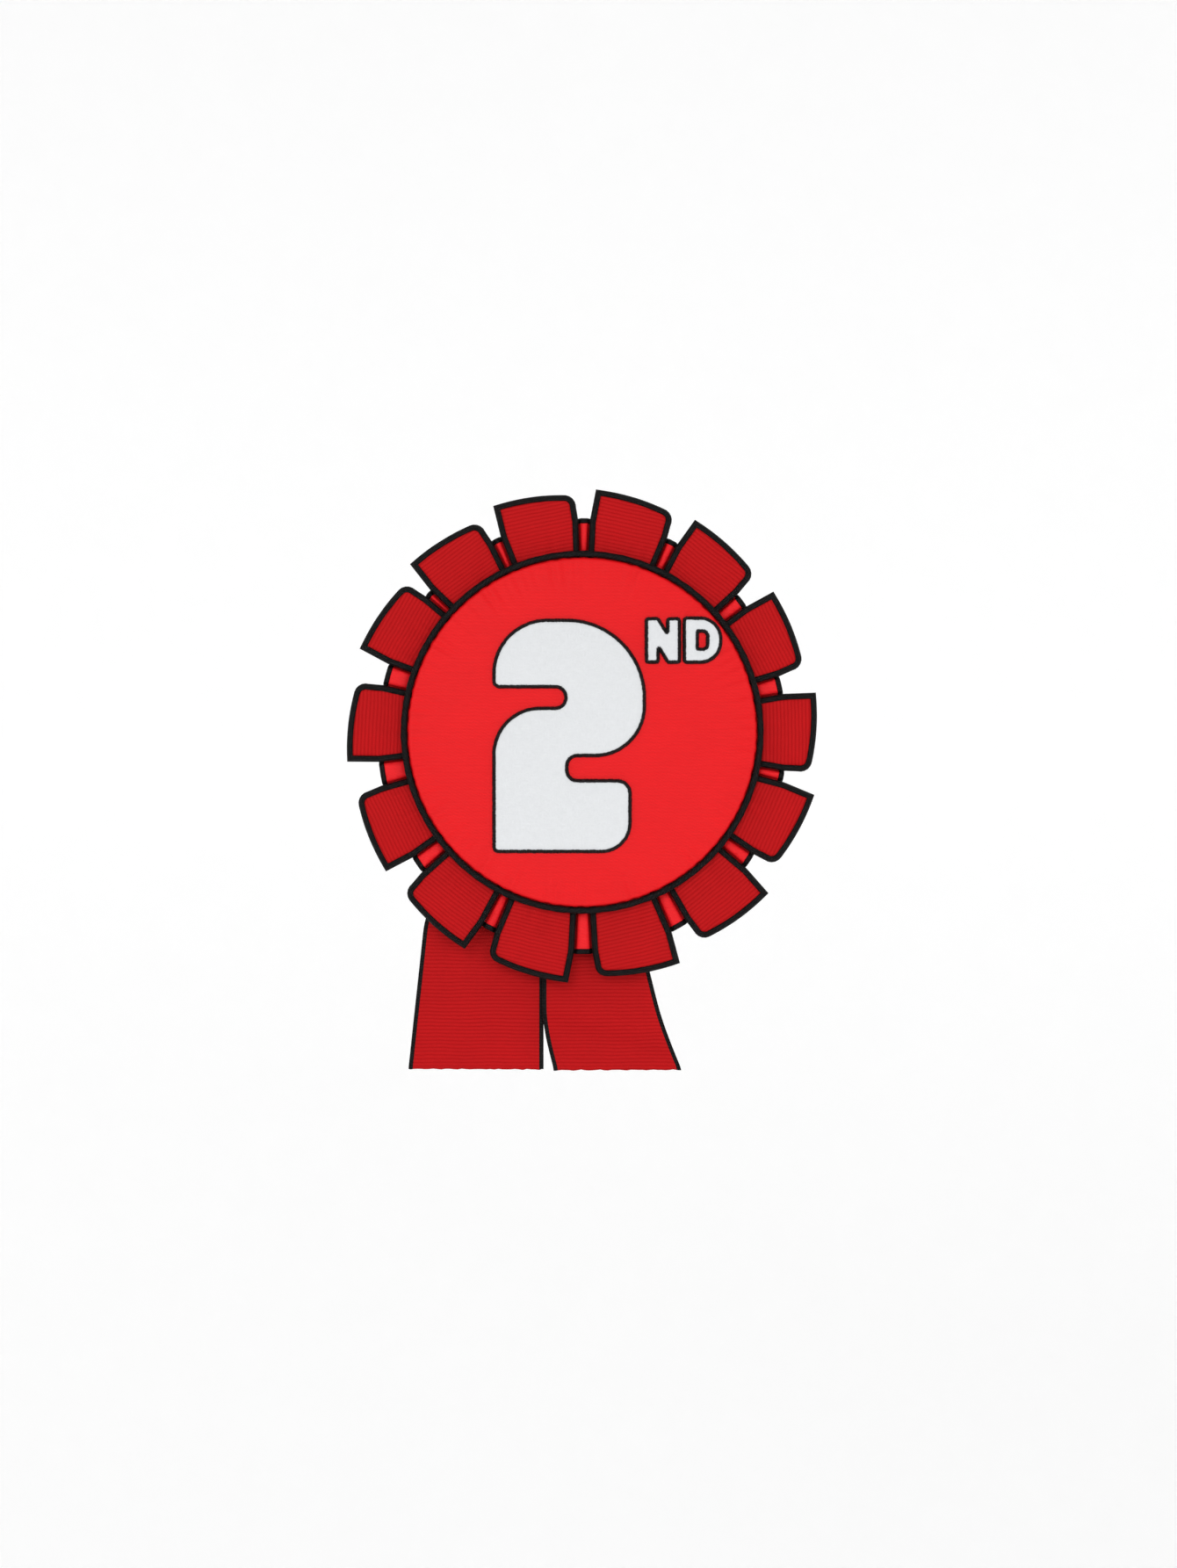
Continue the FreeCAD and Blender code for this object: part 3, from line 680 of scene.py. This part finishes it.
def make_tab(number):
    """One tab: two layers of ribbon, a little full, inside a tape folded over the three free edges."""
    node = f"tab_{number:02d}"
    rng = np.random.default_rng(400 + number)
    loop = resampled(outlines(node)[0], TAPE_STEP)
    out = unit(loop.mean(0))
    across = np.array([-out[1], out[0]])
    fullness, twist = rng.uniform(0.5, 0.95), rng.uniform(-0.35, 0.35)
    curl, droop = rng.uniform(0.15, 0.55), rng.uniform(0.35, 0.75)
    gather, bend = wander(rng, 3.6), wander(rng, 22.0)

    def rise(flat):
        reach, side = flat @ out, flat @ across
        share = side / (TAB_SPREAD * np.maximum(reach, 20))
        free = smooth(reach, CLEAR_OF_BUTTON, TAB_FREE)
        tip = 1 - droop * smooth(reach, *TIP)
        corner = curl * smooth(reach, *CORNER) * smooth(share, 0.2, 1.1)
        full = free * (0.4 + fullness * (1 - share**2) * tip + twist * share + corner)
        full += free * 0.12 * bend(reach + 2 * side)
        pinch = smooth(reach, *PINCHED) * (1 - smooth(reach, *UNPINCHED))
        return TAB_MIDDLE + np.maximum(full, 0) + 0.16 * gather(side + 0.1 * reach) * pinch

    net = filled([loop], NET_STEP, (0.35,))
    flat, _, near = net
    half = CLOTH_HALF * rounded(near, 0.5) + 0.25 * smooth(near, 1, 7)
    middle = rise(flat)
    points, faces, inner = pillow(net, middle + half, middle - half)
    places = np.column_stack([flat @ across + 57.0 * number, flat @ out])
    cloth = build(f"tab_{number:02d}_ribbon", points, faces, dark, np.vstack([places, places[inner]]))

    reach = loop @ out
    start = np.flatnonzero((reach >= TAPE_ROOT) & (np.roll(reach, 1) < TAPE_ROOT))[0]
    line = np.roll(loop, -start, axis=0)
    line = line[: int(np.argmax(line @ out < TAPE_ROOT))]
    section = folded_section(TAPE_LAP, CLOTH_HALF - 0.03, TAPE_HALF)
    tape = band(line, section, rise, False)
    stitches = running_stitches(line, 0.5, 1.7, 0.9, 0.13, rise, TAPE_HALF)
    points, faces, places = together(tape, stitches)
    edge = build(f"tab_{number:02d}_tape", points, faces, trim, places)
    fit(edge, f"tab_binding_{number:02d}")
    fit(cloth, node)


def make_underlay():
    """The bright layer behind the tabs, and its taped edge.

    It swells forward where the gaps between the tabs' tapes leave it free.
    """
    low, high = box_mm("underlay")
    middle = -(low[1] + high[1]) / 2
    loop = resampled(outlines("underlay")[0], 0.5)
    tabs = [resampled(outlines(f"tab_{number:02d}")[0], TAPE_STEP) for number in range(1, TABS + 1)]
    centres = np.array([unit(tab.mean(0)) for tab in tabs])
    between = unit(centres + np.roll(centres, -1, axis=0))
    heights = np.random.default_rng(71).uniform(2.3, 2.9, TABS)
    ruck = wander(np.random.default_rng(72), 5.0)

    def clear(flat):
        """How far each place is from the nearest tab's tape."""
        near, inside = edge_distance(flat, tabs)
        return np.where(inside, -near, near) - TAPE_LAP

    def rise(flat):
        radius, angle = np.hypot(*flat.T), np.arctan2(flat[:, 1], flat[:, 0])
        swell = np.zeros(len(flat))
        outer = radius > SWELL_START
        height = heights[np.argmax(unit(flat[outer]) @ between.T, axis=1)]
        free = smooth(clear(flat[outer]), *SWELL_FLANK)
        swell[outer] = height * free * smooth(radius[outer], SWELL_START, SWELL_FULL)
        return middle + swell + 0.05 * ruck(angle * radius)

    flanks = [tab + outward(tab) * (TAPE_LAP + away) for tab in tabs for away in FLANK_ROWS]
    flanks = np.vstack(flanks)
    flanks = flanks[np.hypot(*flanks.T) > SWELL_START]
    near, inside = edge_distance(flanks, [loop])
    flanks = flanks[inside & (near > 0.7)]
    flanks = thinned(flanks[clear(flanks) > -0.08], 0.33)
    net = filled([loop], NET_STEP, (0.3,), flanks)
    flat, _, near = net
    half = 0.5 * rounded(near, 0.4)
    level = rise(flat)
    points, faces, inner = pillow(net, level + half, level - half)
    # Painted light: this cloth wears the lighter copy of the satin, to brighten the shaded gaps between the
    # tabs.
    cloth = build("underlay_cloth", points, faces, lightened_underlay_satin, np.vstack([flat, flat[inner]]))
    points, faces, places = band(loop, folded_section(UNDERLAY_LAP, 0.47, 0.72), rise, True)
    edge = build("underlay_tape", points, faces, trim, places)
    fit(edge, "underlay_binding")
    fit(cloth, "underlay")


# ---------------------------------------------------------------- the tails


def spans(loop, heights):
    """Rows of (z, least x, greatest x) of a closed line, at each height that it crosses."""
    rows = []
    ends = np.roll(loop, -1, axis=0)
    for z in heights:
        cross = (loop[:, 1] > z) != (ends[:, 1] > z)
        if cross.sum() >= 2:
            a, b = loop[cross], ends[cross]
            x = a[:, 0] + (b - a)[:, 0] * (z - a[:, 1]) / (b - a)[:, 1]
            rows.append((z, x.min(), x.max()))
    return np.array(rows)


ROW_STEP = 0.8
SELVEDGE = 1.25
RIBBON_HALF = 0.27
SELVEDGE_HALF = 0.36
SEAM_LAP = (58, 64)
SEAM_PART = (80, 86)
LOOSE = (56, 97)
LEANS_OUT = (52.5, 58)
WAVE_LENGTH = 47.0


def eased(values, reach=11):
    """The same row of values with its bends rounded."""
    padded = np.pad(values, reach, mode="reflect", reflect_type="odd")
    weights = np.hanning(2 * reach + 3)[1:-1]
    return np.convolve(padded, weights / weights.sum(), "valid")


def make_tail(side, seed, lean, lap, lift, ahead):
    """One hanging ribbon, from its stapled head to its cut end, with a woven black edge down each side.

    lean is how much it turns about its length, and lap is how far its seam edge moves over below
    the rosette. lift and ahead are how far forward it hangs at its end and just below the rosette.
    """
    head, tail = f"tail_{side}_head", f"tail_{side}"
    low, high = box_mm(head)
    level = -(low[1] + high[1]) / 2
    top, end = high[2], box_mm(tail)[0][2]
    rows = np.arange(top, end, -ROW_STEP)
    rows = np.append(rows[:-1], end)
    known = np.vstack([spans(outlines(node)[0], rows) for node in (head, tail)])[::-1]
    known = known[np.argsort(known[:, 0])]
    left = eased(np.interp(rows, known[:, 0], known[:, 1]))
    right = eased(np.interp(rows, known[:, 0], known[:, 2]))
    lapped = smooth(-rows, *SEAM_LAP)
    if side == "left":
        right += lap * lapped
    else:
        left -= lap * lapped * (1 - smooth(-rows, *SEAM_PART))
    rng = np.random.default_rng(seed)
    phase = rng.uniform(0, TAU)
    fray = wander(rng, 3.0)
    steps = np.array([0, 0.12, 0.5, 1.0, SELVEDGE])
    width = right - left
    body = np.linspace(0, 1, 32)[1:-1]
    columns = np.hstack(
        [
            left[:, None] + steps,
            left[:, None] + SELVEDGE + body * (width - 2 * SELVEDGE)[:, None],
            right[:, None] - steps[::-1],
        ]
    )
    count, across = columns.shape
    z = np.repeat(rows[:, None], across, axis=1)
    share = (columns - (left + right)[:, None] / 2) / (width / 2)[:, None]
    z[-1] += 0.12 * fray(columns[-1])
    loose = smooth(-z, *LOOSE)
    turn = TAU * z / WAVE_LENGTH + phase
    wave = loose * (lift + 1.1 * np.sin(turn + 0.7 * share) + lean * share + 0.5 * share**2)
    wave += ahead * smooth(-z, *LEANS_OUT)
    wave += 0.12 * loose * np.sin(TAU * z / 11 + 3 * share + phase)
    middle = level + np.maximum(wave, -0.7)
    half = np.full((count, across), RIBBON_HALF)
    half[:, : len(steps)] = half[:, -len(steps) :] = SELVEDGE_HALF
    half[:, [0, -1]] = 0.0
    half[:, [1, -2]] = 0.25
    half[[0, -1]] *= 0.45
    front = np.stack([columns, -(middle + half), z], axis=-1).reshape(-1, 3)
    back = np.stack([columns, -(middle - half), z], axis=-1).reshape(-1, 3)
    grid = np.arange(count * across).reshape(count, across)
    behind = grid + count * across
    behind[:, [0, -1]] = grid[:, [0, -1]]
    woven = [c < len(steps) - 1 or c >= across - len(steps) for c in range(across - 1)]
    faces, black = [], []
    for r in range(count - 1):
        for c, edge in enumerate(woven):
            faces.append((grid[r, c], grid[r + 1, c], grid[r + 1, c + 1], grid[r, c + 1]))
            faces.append((behind[r, c], behind[r, c + 1], behind[r + 1, c + 1], behind[r + 1, c]))
            black += [edge, edge]
    for r, flip in ((0, 1), (count - 1, -1)):
        for c, edge in enumerate(woven):
            face = (grid[r, c], grid[r, c + 1], behind[r, c + 1], behind[r, c])[::flip]
            faces.append(tuple(dict.fromkeys(face)))
            black.append(edge)
    used = np.unique(np.concatenate([np.array(f) for f in faces]))
    place = np.full(2 * count * across, -1)
    place[used] = np.arange(len(used))
    points = np.vstack([front, back])[used]
    drop = np.repeat(length_along(np.column_stack([middle[:, across // 2], rows]))[:, None], across, axis=1)
    places = np.stack([columns + 90 * seed, -drop], axis=-1).reshape(-1, 2)
    places = np.vstack([places, places])[used]
    piece = build(f"{side}_tail_ribbon", points, [place[list(f)] for f in faces], dark, places)
    piece.data.materials.append(trim)
    piece.data.polygons.foreach_set("material_index", [int(b) for b in black])
    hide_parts(head, tail)
    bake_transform(piece)


# ---------------------------------------------------------------- the button

FACE_LOW, FACE_HIGH = box_mm("button_face")
FACE_RADIUS = FACE_HIGH[0]
FACE_TOP = -FACE_LOW[1]
FACE_BACK = -FACE_HIGH[1]
DOME_RISE = 3.6
DOME_SPHERE = (FACE_RADIUS**2 + DOME_RISE**2) / (2 * DOME_RISE)
SHOULDER = 1.2
FACE_STEP = 1.25
PUFF_SCALE = 10.0
PUFF_FRAMES = 16
MOST_PUFF = 0.8
PUFF_SETTINGS = {
    "quality": 6,
    "mass": 0.3,
    "vertex_group_mass": "tacked",
    "pin_stiffness": 1.0,
    "tension_stiffness": 40,
    "compression_stiffness": 40,
    "shear_stiffness": 15,
    "bending_stiffness": 0.4,
    "use_pressure": True,
    "uniform_pressure_force": 4,
}
TACK_REACH = 1.3
PUCKERS = (61, 74, 88, 103, 121)
PUCKER_DEPTH = 0.2
GLYPHS = ("numeral_2", "letter_n", "letter_d")


def dome(flat):
    """How far forward the padded dome is at each (x, z)."""
    return FACE_TOP - DOME_SPHERE + np.sqrt(DOME_SPHERE**2 - (np.asarray(flat) ** 2).sum(-1))


def make_face(glyph_lines):
    """The satin drawn over the pad.

    A cloth simulation puffs it between its stitched letters and its rim, at a larger scale, and
    then small puckers are added where it is drawn over the edge.
    """
    inner = FACE_RADIUS - SHOULDER
    circle = np.linspace(0, TAU, round(TAU * inner / FACE_STEP), endpoint=False)
    flat, triangles, near = filled([polar(inner, circle)], FACE_STEP)
    rim = np.flatnonzero(near < ON_EDGE)
    rim = rim[np.argsort(np.arctan2(flat[rim, 1], flat[rim, 0]) % TAU)]
    points = raised(flat, dome(flat))
    faces = [tuple(t) for t in triangles]
    slope = inner / DOME_SPHERE
    start = dome([(inner, 0.0)])[0]
    rows = []
    for turned in np.linspace(0, 1, 6)[1:]:
        lean = slope + turned * (math.pi / 2 - slope)
        radius = min(inner + SHOULDER * math.sin(lean), FACE_RADIUS)
        rows.append((radius, start - SHOULDER * (math.cos(slope) - math.cos(lean))))
    rows += [(FACE_RADIUS, y) for y in np.linspace(rows[-1][1], FACE_BACK + 0.3, 3)[1:]]
    rows += [(FACE_RADIUS - 0.25, FACE_BACK + 0.08), (FACE_RADIUS - 0.8, FACE_BACK + 0.02)]
    angle = np.arctan2(flat[rim, 1], flat[rim, 0])
    last, places = rim, [flat]
    run = inner
    previous = (inner, start)
    for radius, forward in rows:
        run += math.hypot(radius - previous[0], forward - previous[1])
        previous = (radius, forward)
        ring = raised(polar(radius, angle), np.full(len(angle), forward))
        index = len(points) + np.arange(len(ring))
        points = np.vstack([points, ring])
        places.append(polar(run, angle))
        for k in range(len(rim)):
            n = (k + 1) % len(rim)
            faces.append((last[k], index[k], index[n], last[n]))
        last = index
    piece = build("face_satin", points * PUFF_SCALE, faces, bright, np.vstack(places))
    rest = points.copy()

    tacked = np.zeros(len(points))
    border = np.vstack(glyph_lines)
    for first in range(0, len(points), 500):
        some = points[first : first + 500][:, [0, 2]]
        apart = np.hypot(*(some[:, None, :] - border[None]).transpose(2, 0, 1)).min(1)
        tacked[first : first + 500] = np.exp(-((apart / TACK_REACH) ** 2))
    radius = np.hypot(points[:, 0], points[:, 2])
    tacked = np.maximum(tacked, smooth(radius, FACE_RADIUS - 2.4, FACE_RADIUS - SHOULDER))
    group = piece.vertex_groups.new(name="tacked")
    for index, weight in enumerate(tacked):
        group.add([index], float(weight), "REPLACE")
    cloth = piece.modifiers.new("cloth", "CLOTH")
    for key, value in PUFF_SETTINGS.items():
        setattr(cloth.settings, key, value)
    cloth.settings.effector_weights.gravity = 0
    cloth.point_cache.frame_start, cloth.point_cache.frame_end = 1, PUFF_FRAMES
    for step in range(1, PUFF_FRAMES + 1):
        bpy.context.scene.frame_set(step)
    shaped = piece.evaluated_get(bpy.context.evaluated_depsgraph_get()).to_mesh()
    moved = np.array([v.co for v in shaped.vertices]) / (MM * PUFF_SCALE)
    piece.to_mesh_clear()
    piece.modifiers.clear()
    bpy.context.scene.frame_set(1)
    shift = moved - rest
    size = np.linalg.norm(shift, axis=1, keepdims=True)
    shift *= np.minimum(1, MOST_PUFF / np.maximum(size, 1e-9))
    rest = rest + shift
    piece.data.vertices.foreach_set("co", (rest * MM).ravel())
    piece.vertex_groups.clear()
    subdivided = piece.modifiers.new("subdivided", "SUBSURF")
    subdivided.levels = subdivided.render_levels = 1
    settle(piece)

    fine = np.array([v.co for v in piece.data.vertices]) / MM
    radius, angle = np.hypot(fine[:, 0], fine[:, 2]), np.arctan2(fine[:, 2], fine[:, 0])
    rng = np.random.default_rng(9)
    waves = [rng.uniform(0.3, 1) * np.cos(n * angle + rng.uniform(0, TAU)) for n in PUCKERS]
    pleat = sum(waves) / 2.2
    drawn = smooth(radius, FACE_RADIUS - 12, FACE_RADIUS - 1)
    drawn = drawn * (1 - smooth(radius, FACE_RADIUS - 0.3, FACE_RADIUS))
    fine[:, 1] -= PUCKER_DEPTH * drawn * pleat
    side = smooth(radius, FACE_RADIUS - 1, FACE_RADIUS - 0.1)
    fine[:, [0, 2]] *= (1 - 0.0022 * side * (1 + pleat))[:, None]
    piece.data.vertices.foreach_set("co", (fine * MM).ravel())
    return piece


def settle(piece):
    """Applies a piece's modifiers to its mesh."""
    graph = bpy.context.evaluated_depsgraph_get()
    shown = piece.evaluated_get(graph)
    mesh = bpy.data.meshes.new_from_object(shown, preserve_all_data_layers=True, depsgraph=graph)
    piece.modifiers.clear()
    piece.data = mesh


def thicken(piece, depth):
    """Gives a sheet its thickness, inwards."""
    solid = piece.modifiers.new("thickness", "SOLIDIFY")
    solid.thickness = depth * MM
    solid.offset = -1
    solid.use_even_offset = False
    settle(piece)


def surface_under(piece):
    """A function that gives how far forward a piece's surface is at (x, z) places."""
    tree = BVHTree.FromObject(piece, bpy.context.evaluated_depsgraph_get())

    def forward(flat):
        found = []
        for x, z in np.asarray(flat):
            hit = tree.ray_cast(Vector((x * MM, -0.05, z * MM)), Vector((0, 1, 0)))[0]
            found.append(dome([(x, z)])[0] if hit is None else -hit.y / MM)
        return np.array(found)

    return forward


def make_foam():
    """The foam pad between the button card and the satin."""
    high = box_mm("button_padding")[1]
    net = filled([polar(high[0] - 0.2, np.linspace(0, TAU, 150, endpoint=False))], 2.2, (0.5,))
    flat, _, near = net
    base = -high[1] + 0.02
    soft = 0.06 * np.sin(flat[:, 0] * 1.9) * np.sin(flat[:, 1] * 1.7)
    top = base + (dome(flat) - 0.65 + soft - base) * rounded(near, 1.2)
    points, faces, inner = pillow(net, top, np.full(len(flat), base))
    piece = build("face_foam", points, faces, cushion, np.vstack([flat, flat[inner]]))
    fit(piece, "button_padding")


FELT_THICK = 0.85
STITCH_PITCH = 0.34
STITCH_RADIUS = 0.2
STITCH_IN, STITCH_OUT = 0.42, 0.62
STITCH_CORE = np.array(
    [(-0.3, 0.62), (0.1, 0.6), (0.45, 0.3), (0.55, 0.02), (0.3, -0.1), (0.0, 0.0), (-0.3, 0.4)]
)


def satin_stitches(loop, felt_top, ground, rng):
    """Threads laid side by side across an edge, from the felt down on to the satin.

    They fan round its corners.
    """
    step = unit(np.roll(loop, -1, axis=0) - loop)
    side = np.column_stack([step[:, 1], -step[:, 0]])
    spots, ways = [], []
    for k, point in enumerate(loop):
        a, b = side[k - 1], side[k]
        turn = math.atan2(a[0] * b[1] - a[1] * b[0], a @ b)
        fan = max(1, round(abs(turn) * STITCH_OUT / STITCH_PITCH)) if abs(turn) > 0.3 else 1
        for part in range(fan):
            spots.append(point)
            ways.append(unit(a + (b - a) * ((part + 0.5) / fan)))
    spots, ways = np.array(spots), np.array(ways)
    steps = np.linspace(0, 1, 7)
    inner = STITCH_IN + rng.uniform(-0.07, 0.07, len(spots))
    outer = STITCH_OUT + rng.uniform(-0.06, 0.08, len(spots))
    out = -inner[:, None] + (inner + outer)[:, None] * steps
    flat = spots[:, None, :] + ways[:, None, :] * out[..., None]
    flat += rng.uniform(-0.03, 0.03, (len(spots), 1, 2))
    low = ground(flat.reshape(-1, 2)).reshape(out.shape)
    high = np.repeat(felt_top(spots)[:, None], len(steps), axis=1)
    down = smooth(out, -0.1, STITCH_OUT)
    arch = 0.12 * np.sin(math.pi * steps)
    forward = high * (1 - down) + (low + 0.05) * down + arch + rng.uniform(-0.015, 0.02, (len(spots), 1))
    return tubes(raised(flat, forward), STITCH_RADIUS)


def make_glyph(node, ground, seed):
    """A felt numeral or letter on the satin, and the black satin stitch round it."""
    rng = np.random.default_rng(seed)
    raw = outlines(node)
    loops = [resampled(line, 0.5) for line in raw]
    net = filled(loops, 0.75 if node == "numeral_2" else 0.5, (0.12, 0.35))
    flat, _, near = net
    low = ground(flat)
    lump = 0.03 * np.sin(flat[:, 0] * 1.3 + seed) * np.sin(flat[:, 1] * 1.1)
    edge = rounded(near, 0.5)
    full = 0.12 * smooth(near, 0.5, 4)
    front = low + 0.1 + (FELT_THICK - 0.15 + lump + full) * edge
    points, faces, inner = pillow(net, front, low - 0.1 * edge)
    body = build(f"{node}_felt", points, faces, grey, np.vstack([flat, flat[inner]]))
    fit(body, node)

    def felt_top(spots):
        return ground(spots) + FELT_THICK - 0.12

    parts = []
    for line in raw:
        dense = resampled(line, STITCH_PITCH)
        parts.append(satin_stitches(dense, felt_top, ground, rng))
        parts.append(band(resampled(line, 0.5), STITCH_CORE, ground, True))
    points, faces, places = together(*parts)
    border = build(f"{node}_stitching", points, faces, stitching, places)
    fit(border, f"{node}_border")


def make_piping():
    """The covered cord round the button: tape drawn tight over a cord, so that it rucks on the slant."""
    low, high = box_mm("button_piping")
    cord = -(low[1] - high[1]) / 2
    ring, level = high[0] - cord, -(low[1] + high[1]) / 2
    around, sides = 900, 18
    turn = np.linspace(0, TAU, around, endpoint=False)[:, None]
    roll = np.linspace(0, TAU, sides, endpoint=False)[None, :]
    rng = np.random.default_rng(33)
    ruck = 0.045 * np.sin(62 * turn + 2 * roll) + 0.02 * np.sin(131 * turn - roll + 1.0)
    ruck = ruck + 0.02 * wander(rng, 9.0)(turn * ring)
    size = cord * (0.985 + ruck)
    radius = ring + size * np.cos(roll)
    points = raised(polar(radius, turn), level + size * np.sin(roll)).reshape(-1, 3)
    grid = np.arange(around * sides).reshape(around, sides)
    ahead, beside = np.roll(grid, -1, axis=0), np.roll(grid, -1, axis=1)
    faces = np.stack([grid, ahead, np.roll(ahead, -1, axis=1), beside], axis=-1).reshape(-1, 4)
    along = turn * ring + 0 * roll
    across = cord * roll + 0 * turn
    places = np.stack([along + across, across - along], axis=-1).reshape(-1, 2) * 0.7
    piece = build("piping_cord", points, faces, trim, places)
    fit(piece, "button_piping")


for tab_number in range(1, TABS + 1):
    make_tab(tab_number)
make_underlay()
make_tail("left", seed=3, lean=0.5, lap=0.5, lift=0.6, ahead=0.0)
make_tail("right", seed=8, lean=-0.6, lap=0.2, lift=2.4, ahead=1.0)
make_foam()
make_piping()

face = make_face([resampled(line, 0.8) for node in GLYPHS for line in outlines(node)])
on_face = surface_under(face)
for glyph_seed, glyph in enumerate(GLYPHS):
    make_glyph(glyph, on_face, 20 + glyph_seed)
thicken(face, 0.35)
fit(face, "button_face")


# ---------------------------------------------------------------- stage, light and camera

AIM = (0, 0, -0.02)


def make_stage():
    """A round pale floor that curves up into a pale wall all the way round."""
    floor, inner, bend, reach, top, turns = -900.0, 900.0, 900.0, 2500.0, 2500.0, 72
    curve = np.linspace(0, math.pi / 2, 16)
    line = [(inner, floor)]
    line += [(reach - bend + bend * math.sin(t), floor + bend * (1 - math.cos(t))) for t in curve]
    line += [(reach, top)]
    angle = np.linspace(0, TAU, turns, endpoint=False)
    points = [(0.0, 0.0, floor)]
    points += [(r * math.cos(t), r * math.sin(t), z) for r, z in line for t in angle]
    faces = [(0, 1 + k, 1 + (k + 1) % turns) for k in range(turns)]
    for row in range(len(line) - 1):
        a, b = 1 + row * turns, 1 + (row + 1) * turns
        faces += [(a + k, b + k, b + (k + 1) % turns, a + (k + 1) % turns) for k in range(turns)]
    build("studio_bowl", points, faces, studio("studio_pale", (250, 250, 250), 0.176))


def make_light(name, place, size, power):
    """A round lamp, aimed at the middle of the rosette and its tails."""
    data = bpy.data.lights.new(name, "AREA")
    data.shape, data.size, data.energy = "DISK", size, power
    light = bpy.data.objects.new(name, data)
    light.location = place
    light.rotation_euler = (Vector(AIM) - Vector(place)).to_track_quat("-Z", "Y").to_euler()
    bpy.context.collection.objects.link(light)


make_stage()
make_light("key", (-0.5, -1.9, 0.6), 0.9, 8.8)
make_light("fill", (0.9, -1.7, 0.1), 1.0, 4)
make_light("behind", (0.5, 1.1, 0.9), 1.0, 4.4)

scene = bpy.context.scene
scene.world = bpy.data.worlds.new("room")
scene.world.use_nodes = True
room = scene.world.node_tree.nodes["Background"]
room.inputs["Color"].default_value = (1.0, 1.0, 1.0, 1.0)
room.inputs["Strength"].default_value = 0.37
scene.view_settings.view_transform = "Standard"

camera_data = bpy.data.cameras.new("camera")
camera_data.lens = 95.6
camera_data.sensor_width = 36.0
camera_data.clip_start = 0.05
camera = bpy.data.objects.new("camera", camera_data)
camera.location = (0.0018, -1.2, -0.0148)
camera.rotation_euler = (math.pi / 2, 0, 0)
bpy.context.collection.objects.link(camera)
scene.camera = camera
